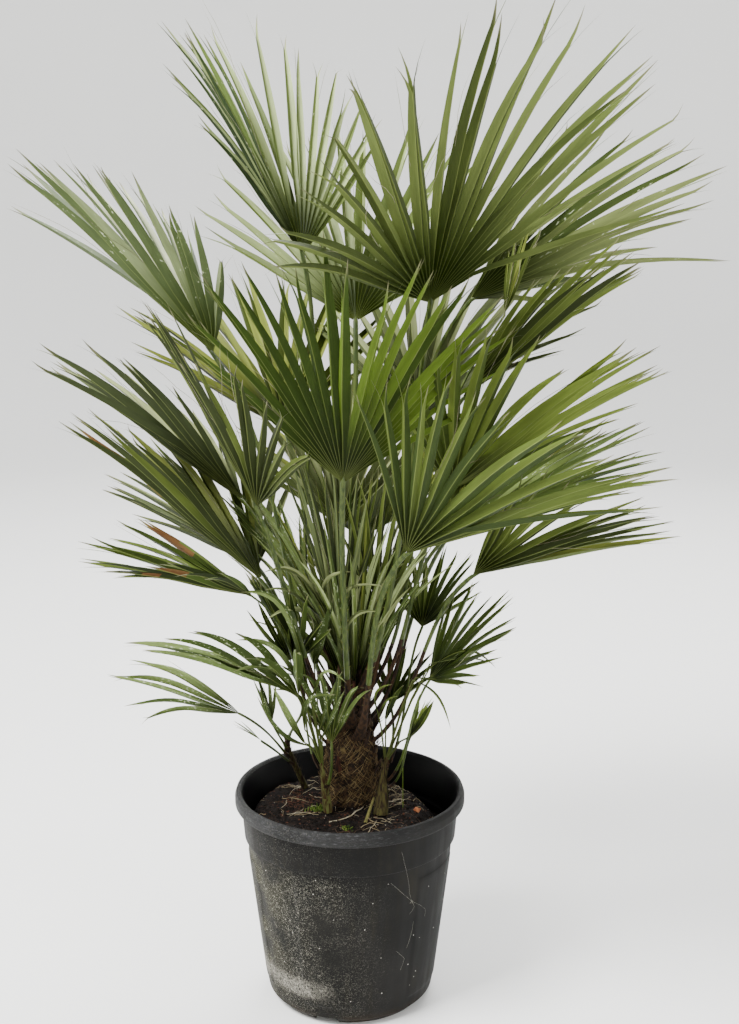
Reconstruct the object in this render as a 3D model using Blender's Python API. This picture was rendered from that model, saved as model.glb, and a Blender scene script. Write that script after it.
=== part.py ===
"""Potted European fan palm: one main trunk and three suckers in a black nursery pot.

Metres, +Z up. The origin is the middle of the pot's flat underside, and -Y is the front.
Angles round the plant are degrees from +X towards +Y.
"""

import math
import random
from dataclasses import dataclass

import bmesh
import bpy
from mathutils import Matrix, Vector
from mathutils.bvhtree import BVHTree

# Pot: turned shell with a rolled rim, a collar and five raised panels
POT_HEIGHT = 0.378
RIM_RADIUS = 0.200
RIM_BAND = 0.025
COLLAR_Z = 0.297
FOOT_RADIUS = 0.131
WALL = 0.0035
POT_SIDES = 80
PANELS = 5
PANEL_RISE = 0.0025
PANEL_SIDES = 9
PANEL_CENTRE = -101.0
NOTCH_CENTRE = -107.0
NOTCH_WIDTH = 0.038
NOTCH_HEIGHT = 0.012
DRAIN_RADIUS = 0.009
DRAIN_CIRCLE = 0.070

# Peat: level round the stems, falling away to the wall
SOIL_TOP = 0.335
SOIL_EDGE = 0.291
SOIL_LEVEL_RADIUS = 0.132
SOIL_SIDES = 40

# Clearance between neighbouring solids
GAP = 0.0003

# Fronds
WEB = 0.44
MID = 0.74
SHRINK = 0.28
CLEAR = 0.0010
TONES = {"mid": "5f7440", "dark": "47512a", "pale": "7f8b60", "grey": "5d6643", "woolly": "77824f"}
UP = Vector((0.0, 0.0, 1.0))


@dataclass(frozen=True)
class Stem:
    """A short stem, round in plan, from the peat up; radii run from its foot to its top."""

    name: str
    foot: tuple
    top: tuple
    radii: tuple
    sides: int = 12
    low: float = 0.6
    high: float = 0.95

    def centre(self, h):
        return Vector(self.foot).lerp(Vector(self.top), h)

    def radius(self, h):
        spot = min(max(h, 0.0), 1.0) * (len(self.radii) - 1)
        i = min(int(spot), len(self.radii) - 2)
        return self.radii[i] + (self.radii[i + 1] - self.radii[i]) * (spot - i)


@dataclass(frozen=True)
class Frond:
    """A palmate leaf: petiole to hub, then segments spread in a fan about the aim."""

    name: str
    stem: str
    hub: tuple
    aim: tuple
    roll: float = 0.0
    length: float = 0.44
    span: float = 130.0
    fold: float = 20.0
    cup: float = 3.0
    count: int = 20
    droop: float = 0.045
    curl: float = 0.03
    tone: str = "mid"


STEMS = (
    Stem("Trunk", (0.000, 0.045, SOIL_TOP + GAP), (0.004, 0.050, 0.572),
         (0.050, 0.049, 0.050, 0.046, 0.041, 0.035, 0.030, 0.026, 0.023), 24, 0.42, 0.97),
    Stem("Sucker_left", (-0.083, 0.092, SOIL_TOP + GAP), (-0.117, 0.065, 0.435),
         (0.0075, 0.0065, 0.0055), 10, 0.55, 0.93),
    Stem("Sucker_front", (-0.038, -0.012, SOIL_TOP + GAP), (-0.047, -0.030, 0.430),
         (0.0100, 0.0075, 0.0062), 10, 0.55, 0.93),
    Stem("Sucker_right", (0.054, -0.022, SOIL_TOP + GAP), (0.062, -0.012, 0.432),
         (0.0148, 0.0112, 0.0075), 10, 0.50, 0.93),
)

FRONDS = (
    Frond("Frond_top_front", "Trunk", (0.126, -0.146, 1.222), (-86, 55), 22, 0.56, 106, -5, -8, 24,
          tone="dark"),
    Frond("Frond_top_left", "Trunk", (-0.075, 0.046, 1.289), (148, 64), -2, 0.45, 118, 24, 0, 22,
          tone="pale"),
    Frond("Frond_top_right", "Trunk", (0.207, 0.133, 1.209), (10, 22), -35, 0.49, 112, 16, 3, 18,
          tone="pale"),
    Frond("Frond_right_upper", "Trunk", (0.191, 0.063, 1.049), (5, 36), -13, 0.41, 112, 18, 2, 18,
          tone="dark"),
    Frond("Frond_left_upper", "Trunk", (-0.213, -0.074, 1.139), (-168, 41), 0, 0.43, 140, 26, 4,
          22, tone="pale"),
    Frond("Frond_centre_front", "Trunk", (-0.006, -0.207, 0.955), (-82, 50), -6, 0.42, 156, 30, 8, 24),
    Frond("Frond_right_middle", "Trunk", (0.170, -0.028, 0.911), (-50, 36), -13, 0.44, 118, 17, 3, 20),
    Frond("Frond_right_front", "Trunk", (0.089, -0.237, 0.852), (-50, 20), -26, 0.45, 120, 25, 8, 20),
    Frond("Frond_right_low", "Trunk", (0.207, -0.024, 0.763), (-33, 18), -20, 0.37, 95, 35, 2, 16,
          tone="grey"),
    Frond("Frond_left_middle", "Trunk", (-0.140, -0.181, 0.913), (-111, 45), -32, 0.41, 84, 12, 5,
          18, tone="dark"),
    Frond("Frond_left_back", "Trunk", (-0.182, 0.059, 0.874), (168, 32), 18, 0.44, 112, 20, 3, 18,
          tone="grey"),
    Frond("Frond_left_grey", "Trunk", (-0.151, 0.045, 0.736), (162, 35), 6, 0.46, 88, 36, 1, 16,
          tone="grey"),
    Frond("Frond_left_low", "Trunk", (-0.155, -0.112, 0.752), (-152, 15), -3, 0.29, 108, 22, 4, 18,
          tone="dark"),
    Frond("Frond_back_top", "Trunk", (0.010, 0.170, 1.170), (92, 60), 0, 0.42, 140, 22, 3, 20, tone="pale"),
    Frond("Frond_back_right", "Trunk", (0.120, 0.240, 0.990), (58, 40), 0, 0.43, 140, 20, 3, 20),
    Frond("Frond_back_left", "Trunk", (-0.120, 0.240, 0.970), (118, 38), 0, 0.43, 140, 20, 3, 20),
    Frond("Frond_back_low", "Trunk", (0.020, 0.270, 0.760), (86, 24), 0, 0.42, 140, 20, 3, 18, tone="dark"),
    Frond("Frond_back_low_left", "Trunk", (-0.170, 0.200, 0.720), (140, 20), 0, 0.36, 125, 24, 3,
          16, tone="grey"),
    Frond("Frond_back_low_right", "Trunk", (0.180, 0.200, 0.780), (36, 24), 0, 0.38, 125, 24, 3,
          16, tone="dark"),
    Frond("Frond_new_right", "Trunk", (0.255, 0.020, 1.192), (20, 66), 0, 0.17, 56, 20, 3, 8,
          tone="dark"),
    Frond("Frond_spear", "Trunk", (0.000, 0.032, 0.645), (-85, 80), 0, 0.34, 40, 40, 2, 10),
    Frond("Frond_woolly", "Trunk", (-0.095, 0.100, 0.685), (170, 48), 0, 0.24, 100, 20, 3, 12,
          tone="woolly"),
    Frond("Frond_right_pale", "Trunk", (0.155, 0.050, 0.801), (-12, 28), -4, 0.42, 86, 28, -1, 16,
          tone="grey"),
    Frond("Frond_inner_left", "Trunk", (-0.030, 0.018, 0.650), (-135, 72), 0, 0.36, 60, 30, 2, 12),
    Frond("Frond_inner_right", "Trunk", (0.034, 0.024, 0.655), (-45, 72), 0, 0.36, 60, 30, 2, 12),
    Frond("Frond_inner_back", "Trunk", (0.000, 0.100, 0.820), (90, 68), 0, 0.33, 100, 28, 2, 14,
          tone="grey"),
    Frond("Frond_small_centre", "Sucker_front", (-0.087, -0.024, 0.614), (-150, 60), 0, 0.20, 130,
          18, 3, 12, tone="dark"),
    Frond("Frond_sucker_front", "Sucker_front", (-0.030, -0.050, 0.475), (-112, 68), 0, 0.22, 70,
          18, 2, 8, 0.08, tone="woolly"),
    Frond("Frond_sucker_long", "Sucker_left", (-0.085, -0.062, 0.563), (-147, 36), 15, 0.30, 105,
          16, 2, 8, 0.12, tone="woolly"),
    Frond("Frond_sucker_left", "Sucker_left", (-0.184, -0.050, 0.528), (-168, 24), -28, 0.24, 58,
          14, 2, 6, 0.10, tone="woolly"),
    Frond("Frond_sucker_bud", "Sucker_left", (-0.151, -0.020, 0.468), (170, 30), 0, 0.06, 26, 30,
          2, 4, tone="woolly"),
    Frond("Frond_sucker_vee", "Sucker_left", (-0.133, -0.010, 0.498), (170, 65), 0, 0.09, 90, 30,
          2, 6, tone="woolly"),
    Frond("Frond_sucker_right", "Sucker_right", (0.133, -0.082, 0.599), (-15, 48), 24, 0.21, 124,
          14, -3, 14),
    Frond("Frond_sucker_upper", "Sucker_right", (0.111, 0.021, 0.650), (60, 46), 0, 0.17, 122, 18, 2, 12),
    Frond("Frond_sucker_curly", "Sucker_right", (0.056, 0.020, 0.525), (60, 40), 0, 0.13, 110, 18, 2, 8),
    Frond("Frond_sucker_fold", "Sucker_right", (0.105, -0.020, 0.478), (-30, 60), 0, 0.09, 40, 35, 2, 4),
)


def plain(name, colour, roughness):
    """A plain Principled material; colour is an sRGB hex."""
    material = bpy.data.materials.new(name)
    material.use_nodes = True
    shader = material.node_tree.nodes["Principled BSDF"]
    parts = [int(colour[i:i + 2], 16) / 255.0 for i in (0, 2, 4)]
    linear = [c / 12.92 if c <= 0.04045 else ((c + 0.055) / 1.055) ** 2.4 for c in parts]
    shader.inputs["Base Color"].default_value = (*linear, 1.0)
    shader.inputs["Roughness"].default_value = roughness
    shader.inputs["Metallic"].default_value = 0.0
    material.diffuse_color = (*linear, 1.0)
    return material


def make(name, verts, faces, material, smooth=False):
    """One named object from points and faces, its faces turned outward."""
    mesh = bpy.data.meshes.new(name)
    mesh.from_pydata([tuple(v) for v in verts], [], faces)
    shape = bmesh.new()
    shape.from_mesh(mesh)
    bmesh.ops.recalc_face_normals(shape, faces=shape.faces)
    shape.to_mesh(mesh)
    shape.free()
    if smooth:
        mesh.shade_smooth()
        mesh.set_sharp_from_angle(angle=math.radians(35))
    mesh.materials.append(material)
    item = bpy.data.objects.new(name, mesh)
    bpy.context.scene.collection.objects.link(item)
    return item


def turned(rings, sides):
    """Points and faces of a closed turned body.

    Each ring is (radius, z) or (radius, z, rise, centre): rise is added to the radius on the
    raised panels, and centre moves the ring sideways. The first and last ring are poles.
    """
    verts, faces, rows = [], [], []
    for ring in rings:
        radius, z = ring[0], ring[1]
        rise = ring[2] if len(ring) > 2 else 0.0
        cx, cy = ring[3] if len(ring) > 3 else (0.0, 0.0)
        if radius == 0.0:
            rows.append([len(verts)])
            verts.append(Vector((cx, cy, z)))
            continue
        row = []
        for i in range(sides):
            angle = math.radians(PANEL_CENTRE) + math.tau * i / sides
            step = (i + PANEL_SIDES // 2) % (sides // PANELS)
            r = radius + (rise if step < PANEL_SIDES else 0.0)
            row.append(len(verts))
            verts.append(Vector((cx + r * math.cos(angle), cy + r * math.sin(angle), z)))
        rows.append(row)
    for low, high in zip(rows, rows[1:]):
        for i in range(sides):
            j = (i + 1) % sides
            if len(low) == 1:
                faces.append((low[0], high[i], high[j]))
            elif len(high) == 1:
                faces.append((low[i], low[j], high[0]))
            else:
                faces.append((low[i], low[j], high[j], high[i]))
    return verts, faces


def build_pot():
    """The shell, with drainage holes and five notches in the foot cut by one cutter."""
    outer = [
        (0.0, 0.0), (FOOT_RADIUS, 0.0), (0.145, 0.014), (0.1475, 0.026),
        (0.1490, 0.037, PANEL_RISE), (0.1770, 0.268, PANEL_RISE), (0.1795, 0.291),
        (0.1840, COLLAR_Z), (0.1868, 0.325), (0.1880, POT_HEIGHT - RIM_BAND - 0.001),
        (RIM_RADIUS, POT_HEIGHT - RIM_BAND + 0.002), (RIM_RADIUS, POT_HEIGHT - 0.014),
        (RIM_RADIUS - 0.0015, POT_HEIGHT - 0.006), (RIM_RADIUS - 0.005, POT_HEIGHT),
        (RIM_RADIUS - 0.010, POT_HEIGHT), (RIM_RADIUS - 0.0125, POT_HEIGHT - 0.004),
    ]
    inner = [
        (0.1812, COLLAR_Z + 0.008), (0.1765, COLLAR_Z + 0.001), (0.1770 - WALL, 0.268),
        (0.1490 - WALL, 0.037), (0.1430 - WALL, 0.018), (FOOT_RADIUS - 0.006, WALL), (0.0, WALL),
    ]
    verts, faces = turned(outer + inner, POT_SIDES)
    pot = make("Pot", verts, faces, plain("Black polypropylene", "2a2a29", 0.6), smooth=True)
    cutter = bmesh.new()
    for i in range(PANELS):
        angle = math.radians(NOTCH_CENTRE) + math.tau * i / PANELS
        spot = Matrix.Rotation(angle, 4, "Z") @ Matrix.Translation((FOOT_RADIUS + 0.012, 0.0, 0.0))
        size = Matrix.Diagonal((0.06, NOTCH_WIDTH, NOTCH_HEIGHT * 2.0, 1.0))
        bmesh.ops.create_cube(cutter, size=1.0, matrix=spot @ size)
        angle += math.pi / PANELS
        spot = Matrix.Rotation(angle, 4, "Z") @ Matrix.Translation((DRAIN_CIRCLE, 0.0, 0.0))
        bmesh.ops.create_cone(cutter, cap_ends=True, segments=12, radius1=DRAIN_RADIUS,
                              radius2=DRAIN_RADIUS, depth=0.02, matrix=spot)
    mesh = bpy.data.meshes.new("Pot_cutter")
    cutter.to_mesh(mesh)
    cutter.free()
    tool = bpy.data.objects.new("Pot_cutter", mesh)
    bpy.context.scene.collection.objects.link(tool)
    tool.hide_render = True
    tool.display_type = "WIRE"
    cut = pot.modifiers.new("Foot notches and drains", "BOOLEAN")
    cut.operation = "DIFFERENCE"
    cut.object = tool
    return pot


def build_soil():
    """Peat fill, clear of the shell all round, with its level top moved a little to the left."""
    left = (-0.010, 0.004)
    rings = [
        (0.0, WALL + GAP), (FOOT_RADIUS - 0.0068, WALL + GAP), (0.1430 - WALL - 0.0006, 0.0185),
        (0.1490 - WALL - 0.0006, 0.037), (0.1770 - WALL - 0.0006, 0.268), (0.1746, SOIL_EDGE - 0.006),
        (0.1710, SOIL_EDGE), (0.1550, SOIL_EDGE + 0.022, 0.0, left),
        (SOIL_LEVEL_RADIUS, SOIL_TOP, 0.0, left), (0.0, SOIL_TOP, 0.0, left),
    ]
    verts, faces = turned(rings, SOIL_SIDES)
    return make("Soil", verts, faces, plain("Peat", "2b1f17", 0.95))


def build_stem(stem):
    """A tapering stem with level ends."""
    steps = len(stem.radii) - 1
    rings = []
    for i, radius in enumerate(stem.radii):
        spot = stem.centre(i / steps)
        rings.append((radius, spot.z, 0.0, (spot.x, spot.y)))
    ends = [(0.0, rings[0][1], 0.0, rings[0][3])], [(0.0, rings[-1][1], 0.0, rings[-1][3])]
    verts, faces = turned(ends[0] + rings + ends[1], stem.sides)
    colour = "4a3626" if stem.name == "Trunk" else "6b5032"
    return make(stem.name, verts, faces, plain(stem.name + " fibre", colour, 0.9), smooth=True)


def bezier(points, t):
    """Point on a cubic through four control points."""
    a, b, c, d = points
    s = 1.0 - t
    return a * s ** 3 + b * 3 * s * s * t + c * 3 * s * t * t + d * t ** 3


def square_to(vector, along):
    """The part of a vector square to a direction, as a unit vector."""
    return (vector - along * vector.dot(along)).normalized()


class Blade:
    """Works out one frond's shape: its frame, its petiole and each segment of its fan."""

    def __init__(self, frond, stem, rank):
        self.frond = frond
        self.stem = stem
        self.rank = rank
        self.hub = Vector(frond.hub)
        azimuth, pitch = (math.radians(v) for v in frond.aim)
        self.ahead = Vector((math.cos(azimuth) * math.cos(pitch),
                             math.sin(azimuth) * math.cos(pitch), math.sin(pitch)))
        upper = square_to(UP, self.ahead)
        self.upper = Matrix.Rotation(math.radians(frond.roll), 3, self.ahead) @ upper
        self.side = self.upper.cross(self.ahead)
        self.keel = max(0.0026, 0.0102 * frond.length)
        self.big = frond.length > 0.3
        self.hub_size = (0.0090, 0.0060) if self.big else (0.0050, 0.0036)
        self.base_size = (0.0125, 0.0070) if self.big else (0.0062, 0.0042)
        chance = random.Random(frond.name)
        self.jitter = [(chance.uniform(-1, 1), chance.uniform(-1, 1), chance.uniform(-1, 1))
                       for _ in range(frond.count)]
        self.settle(0.0, 0.0, (0.0, 0.0, 0.0))
        self.plan = {}

    def settle(self, shift, bow, nudge):
        """Step the petiole's foot round the stem, bow it sideways and move the hub a little."""
        self.shift, self.bow = shift, bow
        self.hub = Vector(self.frond.hub) + Vector(nudge)

    def direction(self, theta):
        """Direction of the fan at an angle from the aim, the way across it, and its upper face."""
        frond = self.frond
        fold, cup = math.radians(frond.fold), math.radians(frond.cup)
        hand = 0.0 if abs(theta) < 1e-6 else math.copysign(1.0, theta)
        out = self.side * hand * math.cos(fold) + self.upper * math.sin(fold)
        c, s = math.cos(abs(theta)), math.sin(abs(theta))
        way = self.ahead * c + out * s
        across = (out * c - self.ahead * s) * hand if hand else self.side
        way = way * math.cos(cup) + square_to(self.upper, way) * math.sin(cup)
        face = way.cross(across).normalized()
        return way, face.cross(way), face

    def reach(self, theta):
        """Length of a segment at an angle: the outer ones are shorter."""
        half = math.radians(self.frond.span) / 2
        return self.frond.length * (1.0 - SHRINK * abs(theta / half) ** 2.2)

    def edge(self, i):
        """Angle of boundary i between segments."""
        return math.radians(self.frond.span) * (i / self.frond.count - 0.5)

    def web_points(self, i):
        """Upper and lower point of boundary i where its segments part."""
        theta = self.edge(i)
        way, _, face = self.direction(theta)
        spot = self.hub + way * (WEB * self.reach(theta))
        return spot, spot - face * (self.keel * 0.5)

    def spine(self, k, lift, swing, scale):
        """Function of the fraction along segment k that gives its middle line."""
        theta = (self.edge(k) + self.edge(k + 1)) / 2
        way, across, face = self.direction(theta)
        wag, grow, sink = self.jitter[k]
        full = self.reach(theta) * (1.0 + 0.05 * grow)
        lift = math.tan(math.radians(lift + 2.0 * wag))
        swing = math.tan(math.radians(swing))

        def at(fraction):
            along = WEB + (fraction - WEB) * scale
            free = max(along - WEB, 0.0)
            bend = (free / (1.0 - WEB)) ** 2 * full
            spot = self.hub + way * (full * along)
            spot += (face * lift + across * swing) * (full * free)
            spot -= UP * (bend * self.frond.droop * (1.0 + 0.5 * sink))
            return spot - face * (bend * self.frond.curl)

        return at, across, face

    def width(self):
        """Width of a segment where it parts from its neighbours."""
        wide = math.radians(self.frond.span) / self.frond.count
        return 2 * WEB * self.frond.length * math.tan(wide / 2)

    def segment(self, k, lift, swing, scale):
        """Points of the free part of segment k: right, left and keel at mid length, and tip."""
        at, across, face = self.spine(k, lift, swing, scale)
        half = self.width() * 0.40
        middle, tip = at(MID), at(1.0)
        return (middle - across * half, middle + across * half,
                middle - face * (self.keel * 0.9), tip)

    def lone_segment(self, k, choice):
        """The free part of segment k as a closed shape of its own."""
        (t0, b0), (t1, b1) = self.web_points(k), self.web_points(k + 1)
        _, _, face = self.direction((self.edge(k) + self.edge(k + 1)) / 2)
        keel = (t0 + t1) / 2 - face * self.keel
        verts = [t0, b0, keel, b1, t1, *self.segment(k, *choice)]
        faces = [(0, 4, 3, 2, 1), (0, 4, 6, 5), (0, 5, 1), (4, 3, 6), (1, 5, 7, 2), (3, 2, 7, 6),
                 (5, 6, 8), (5, 8, 7), (6, 7, 8)]
        return verts, faces

    def petiole(self):
        """Rings of four points from the stem to the hub, upper left first."""
        height = self.stem.low + (self.stem.high - self.stem.low) * self.rank
        centre, radius = self.stem.centre(height), self.stem.radius(height)
        to_hub = self.hub - centre
        azimuth = math.atan2(to_hub.y, to_hub.x) + math.radians(self.shift)
        out = Vector((math.cos(azimuth), math.sin(azimuth), 0.0))
        level = UP.cross(out)
        above, below = height + 0.03, height - 0.03
        flare = self.stem.radius(above) - self.stem.radius(below)
        clear = GAP * 1.6 if self.stem.name == "Trunk" else GAP
        start = centre + out * (radius + clear)
        climb = self.stem.centre(above) - self.stem.centre(below) + out * flare
        climb.normalize()
        run = (self.hub - start).length
        steep = (UP * (0.75 + 0.9 * self.rank) + out).normalized()
        arrive = ((self.hub - start).normalized() * 0.6 + self.ahead * 0.7).normalized()
        sideways = level * (self.bow * run)
        controls = (start, start + steep * (run * 0.32) + sideways,
                    self.hub - arrive * (run * 0.34) + sideways, self.hub)
        steps = 6 if self.big else 4
        rings = []
        for j in range(steps + 1):
            t = j / steps
            spot = bezier(controls, t)
            ahead = (bezier(controls, min(t + 0.02, 1.0)) - bezier(controls, max(t - 0.02, 0.0)))
            ahead.normalize()
            wide = self.base_size[0] + (self.hub_size[0] - self.base_size[0]) * min(1.0, 2.2 * t)
            deep = self.base_size[1] + (self.hub_size[1] - self.base_size[1]) * min(1.0, 2.2 * t)
            if j == 0:
                across, over, deep = level, climb, deep * 2.0
            else:
                blend = level.lerp(self.side, t * t * (3 - 2 * t))
                across = square_to(blend, ahead if j < steps else self.ahead)
                over = across.cross(ahead if j < steps else self.ahead) * -1.0
            rings.append([spot + across * wide / 2 + over * deep / 2,
                          spot - across * wide / 2 + over * deep / 2,
                          spot - across * wide / 2 - over * deep / 2,
                          spot + across * wide / 2 - over * deep / 2])
        return rings

    def core(self):
        """Points and faces of the petiole and the web, open where segments will grow on."""
        verts, faces = [], []
        rings = self.petiole()
        for ring in rings:
            verts.extend(ring)
        last = len(verts) - 4
        faces.append((0, 1, 2, 3))
        for j in range(0, last, 4):
            for m in range(4):
                n = (m + 1) % 4
                faces.append((j + m, j + n, j + 4 + n, j + 4 + m))
        count = self.frond.count
        web = []
        for i in range(count + 1):
            top, under = self.web_points(i)
            web.append((len(verts), len(verts) + 1))
            verts += [top, under]
        keels = []
        for k in range(count):
            _, _, face = self.direction((self.edge(k) + self.edge(k + 1)) / 2)
            middle = (verts[web[k][0]] + verts[web[k + 1][0]]) / 2
            keels.append(len(verts))
            verts.append(middle - face * self.keel)
        left, right, low_right, low_left = last, last + 1, last + 2, last + 3
        mid = count // 2
        for k in range(count):
            top, low = (right, low_right) if k < mid else (left, low_left)
            faces.append((top, web[k][0], web[k + 1][0]))
            faces.append((low, keels[k], web[k][1]))
            faces.append((low, web[k + 1][1], keels[k]))
        faces.append((right, web[mid][0], left))
        faces.append((low_left, web[mid][1], low_right))
        faces.append((right, low_right, web[0][1], web[0][0]))
        faces.append((left, web[count][0], web[count][1], low_left))
        return verts, faces, web, keels

    def solid(self):
        """Points and faces of the whole closed frond."""
        verts, faces, web, keels = self.core()
        for k in range(self.frond.count):
            (t0, b0), (t1, b1), keel = web[k], web[k + 1], keels[k]
            choice = self.plan.get(k)
            if choice is None:
                faces += [(t0, b0, keel), (keel, b1, t1), (t0, keel, t1)]
                continue
            first = len(verts)
            verts.extend(self.segment(k, *choice))
            right, left, under, tip = range(first, first + 4)
            faces += [(t0, t1, left, right), (t0, right, b0), (t1, b1, left),
                      (b0, right, under, keel), (b1, keel, under, left),
                      (right, left, tip), (right, tip, under), (left, under, tip)]
        return verts, faces


def tree(verts, faces):
    """Search tree of a set of faces."""
    return BVHTree.FromPolygons([tuple(v) for v in verts], faces)


def gather(parts):
    """One set of points and faces out of several."""
    verts, faces = [], []
    for points, polygons in parts:
        first = len(verts)
        verts.extend(points)
        faces.extend(tuple(i + first for i in polygon) for polygon in polygons)
    return verts, faces


def swollen(verts, faces, extra, still=0):
    """The same shape with its points, but for the first few, pushed out along their normals."""
    mesh = bpy.data.meshes.new("swell")
    mesh.from_pydata([tuple(v) for v in verts], [], faces)
    shape = bmesh.new()
    shape.from_mesh(mesh)
    bmesh.ops.recalc_face_normals(shape, faces=shape.faces)
    shape.normal_update()
    grown = [v.co + v.normal * (extra if v.index >= still else 0.0) for v in shape.verts]
    shape.free()
    bpy.data.meshes.remove(mesh)
    return grown, faces


def crosses(shape, others):
    """True where faces of a shape cross others, apart from faces that share a corner."""
    verts, faces = shape
    points, polygons = gather(others)
    for i, j in tree(verts, faces).overlap(tree(points, polygons)):
        apart = [(verts[p] - points[q]).length for p in faces[i] for q in polygons[j]]
        if min(apart) > GAP:
            return True
    return False


def place_cores(blades, solids):
    """Settle each petiole and web in turn, stepping it aside where it would meet another."""
    placed = list(solids)
    steps = (0, 9, -9, 18, -18, 27, -27, 36, -36)
    bows = (0.0, 0.05, -0.05, 0.10, -0.10, 0.16, -0.16)
    nudges = [(0.0, 0.0, 0.0)] + [(x, y, z) for y in (0.0, 0.015, -0.015, 0.03, -0.03)
                                  for z in (0.0, 0.015, -0.015) for x in (0.0, 0.015, -0.015)]
    tries = [(step, bow, nudge) for nudge in nudges for bow in bows for step in steps]
    for blade in blades:
        around = tree(*gather(placed))
        for choice in tries:
            blade.settle(*choice)
            verts, faces, _, _ = blade.core()
            if not tree(*swollen(verts, faces, CLEAR, still=4)).overlap(around):
                break
        else:
            blade.settle(*tries[0])
            verts, faces, _, _ = blade.core()
            print("core meets a neighbour:", blade.frond.name)
        placed.append((verts, faces))
    return placed[len(solids):]


def place_segments(blades, cores, solids):
    """Settle each free segment: turned a little, or shorter, or left off where there is no room."""
    parts = [[core] for core in cores]
    turns = [(0, 0), (3, 0), (-3, 0), (0, 3), (0, -3), (6, 0), (-6, 0), (6, 4), (-6, -4), (10, 0),
             (-10, 0), (10, 5), (-10, -5)]
    tries = [(lift, swing, 1.0) for lift, swing in turns]
    tries += [(lift, swing, scale) for scale in (0.85, 0.7, 0.55) for lift, swing in turns[:9]]
    cut, lost = 0, 0
    for n, blade in enumerate(blades):
        others = solids + [part for m, group in enumerate(parts) if m != n for part in group]
        around = tree(*gather(others))
        for k in range(blade.frond.count):
            for choice in tries:
                verts, faces = blade.lone_segment(k, choice)
                if tree(*swollen(verts, faces, CLEAR)).overlap(around):
                    continue
                if crosses((verts, faces), parts[n][-3:]):
                    continue
                blade.plan[k] = choice
                parts[n].append((verts, faces))
                cut += choice[2] < 1.0
                break
            else:
                lost += 1
    print("segments shortened", cut, "left off", lost)


def build_fronds(solids):
    """Every frond, each in the space the others leave."""
    stems = {stem.name: stem for stem in STEMS}
    blades = []
    for stem in STEMS:
        mine = [frond for frond in FRONDS if frond.stem == stem.name]

        def steepness(frond, stem=stem):
            rise = Vector(frond.hub) - stem.centre(1.0)
            return math.atan2(rise.z, math.hypot(rise.x, rise.y))

        order = sorted(mine, key=steepness)
        for frond in mine:
            rank = order.index(frond) / max(len(order) - 1, 1)
            blades.append(Blade(frond, stems[frond.stem], rank))
    cores = place_cores(blades, solids)
    place_segments(blades, cores, solids)
    total = 0
    for blade in blades:
        verts, faces = blade.solid()
        total += sum(len(face) - 2 for face in faces)
        make(blade.frond.name, verts, faces,
             plain(blade.frond.name + " blade", TONES[blade.frond.tone], 0.55))
    print("frond triangles", total)


def mesh_of(item):
    """Points and faces of an object's own mesh."""
    return ([v.co.copy() for v in item.data.vertices],
            [tuple(p.vertices) for p in item.data.polygons])


def main():
    for item in list(bpy.data.objects):
        bpy.data.objects.remove(item)
    pot = build_pot()
    soil = build_soil()
    stems = [build_stem(stem) for stem in STEMS]
    build_fronds([mesh_of(item) for item in [pot, soil] + stems])


main()
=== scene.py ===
"""Looks of a potted European fan palm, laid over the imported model.

Metres, +Z up, and -Y is the front. Angles round the plant are degrees from +X towards +Y.
Each frond's solid blade is replaced by its pleated leaflets, which grow by the same rule as the
solids: petiole to hub, then rays spread in a fan about the aim.
"""

import logging
import math
from collections.abc import Iterable
from dataclasses import dataclass, field
from enum import Enum
from random import Random

import bmesh
import bpy
from mathutils import Matrix, Vector, noise


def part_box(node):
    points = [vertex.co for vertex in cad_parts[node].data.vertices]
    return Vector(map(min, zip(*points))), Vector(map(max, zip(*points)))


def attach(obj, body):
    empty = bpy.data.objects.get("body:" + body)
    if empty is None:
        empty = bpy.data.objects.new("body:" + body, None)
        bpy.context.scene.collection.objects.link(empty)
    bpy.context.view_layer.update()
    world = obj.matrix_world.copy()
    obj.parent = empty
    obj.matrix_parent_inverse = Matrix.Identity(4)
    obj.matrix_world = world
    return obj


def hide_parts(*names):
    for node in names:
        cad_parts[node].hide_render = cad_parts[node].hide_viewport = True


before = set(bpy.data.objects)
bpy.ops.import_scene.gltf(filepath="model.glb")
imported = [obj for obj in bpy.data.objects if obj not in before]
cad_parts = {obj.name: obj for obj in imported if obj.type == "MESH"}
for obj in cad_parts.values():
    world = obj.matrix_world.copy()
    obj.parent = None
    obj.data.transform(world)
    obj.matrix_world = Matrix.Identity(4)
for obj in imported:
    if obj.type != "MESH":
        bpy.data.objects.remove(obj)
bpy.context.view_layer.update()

LOG = logging.getLogger("palm")
BODY = "root"
# Gains that make the painted-shade and the painted-light copies of each leaf finish.
PAINTED_SHADE_GAIN = 0.88
PAINTED_LIGHT_GAIN = 1.14
UP = Vector((0.0, 0.0, 1.0))
MM = 0.001

Colour = tuple[float, float, float, float]
Place = tuple[float, float, float]
Tree = bpy.types.NodeTree
Socket = bpy.types.NodeSocket
Material = bpy.types.Material


def linear(colour: str) -> Colour:
    """Turns an sRGB hex value to linear light.

    Args:
        colour: six hex digits, red first.

    Returns:
        Linear red, green, blue and an alpha of 1.
    """
    parts = [int(colour[i:i + 2], 16) / 255.0 for i in (0, 2, 4)]
    light = [c / 12.92 if c <= 0.04045 else ((c + 0.055) / 1.055) ** 2.4 for c in parts]
    return (*light, 1.0)


def shaded(colour: str, gain: float) -> str:
    """The sRGB hex colour made lighter or darker by a gain."""
    return "".join(f"{min(255, round(int(colour[i:i + 2], 16) * gain)):02x}" for i in (0, 2, 4))


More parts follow.
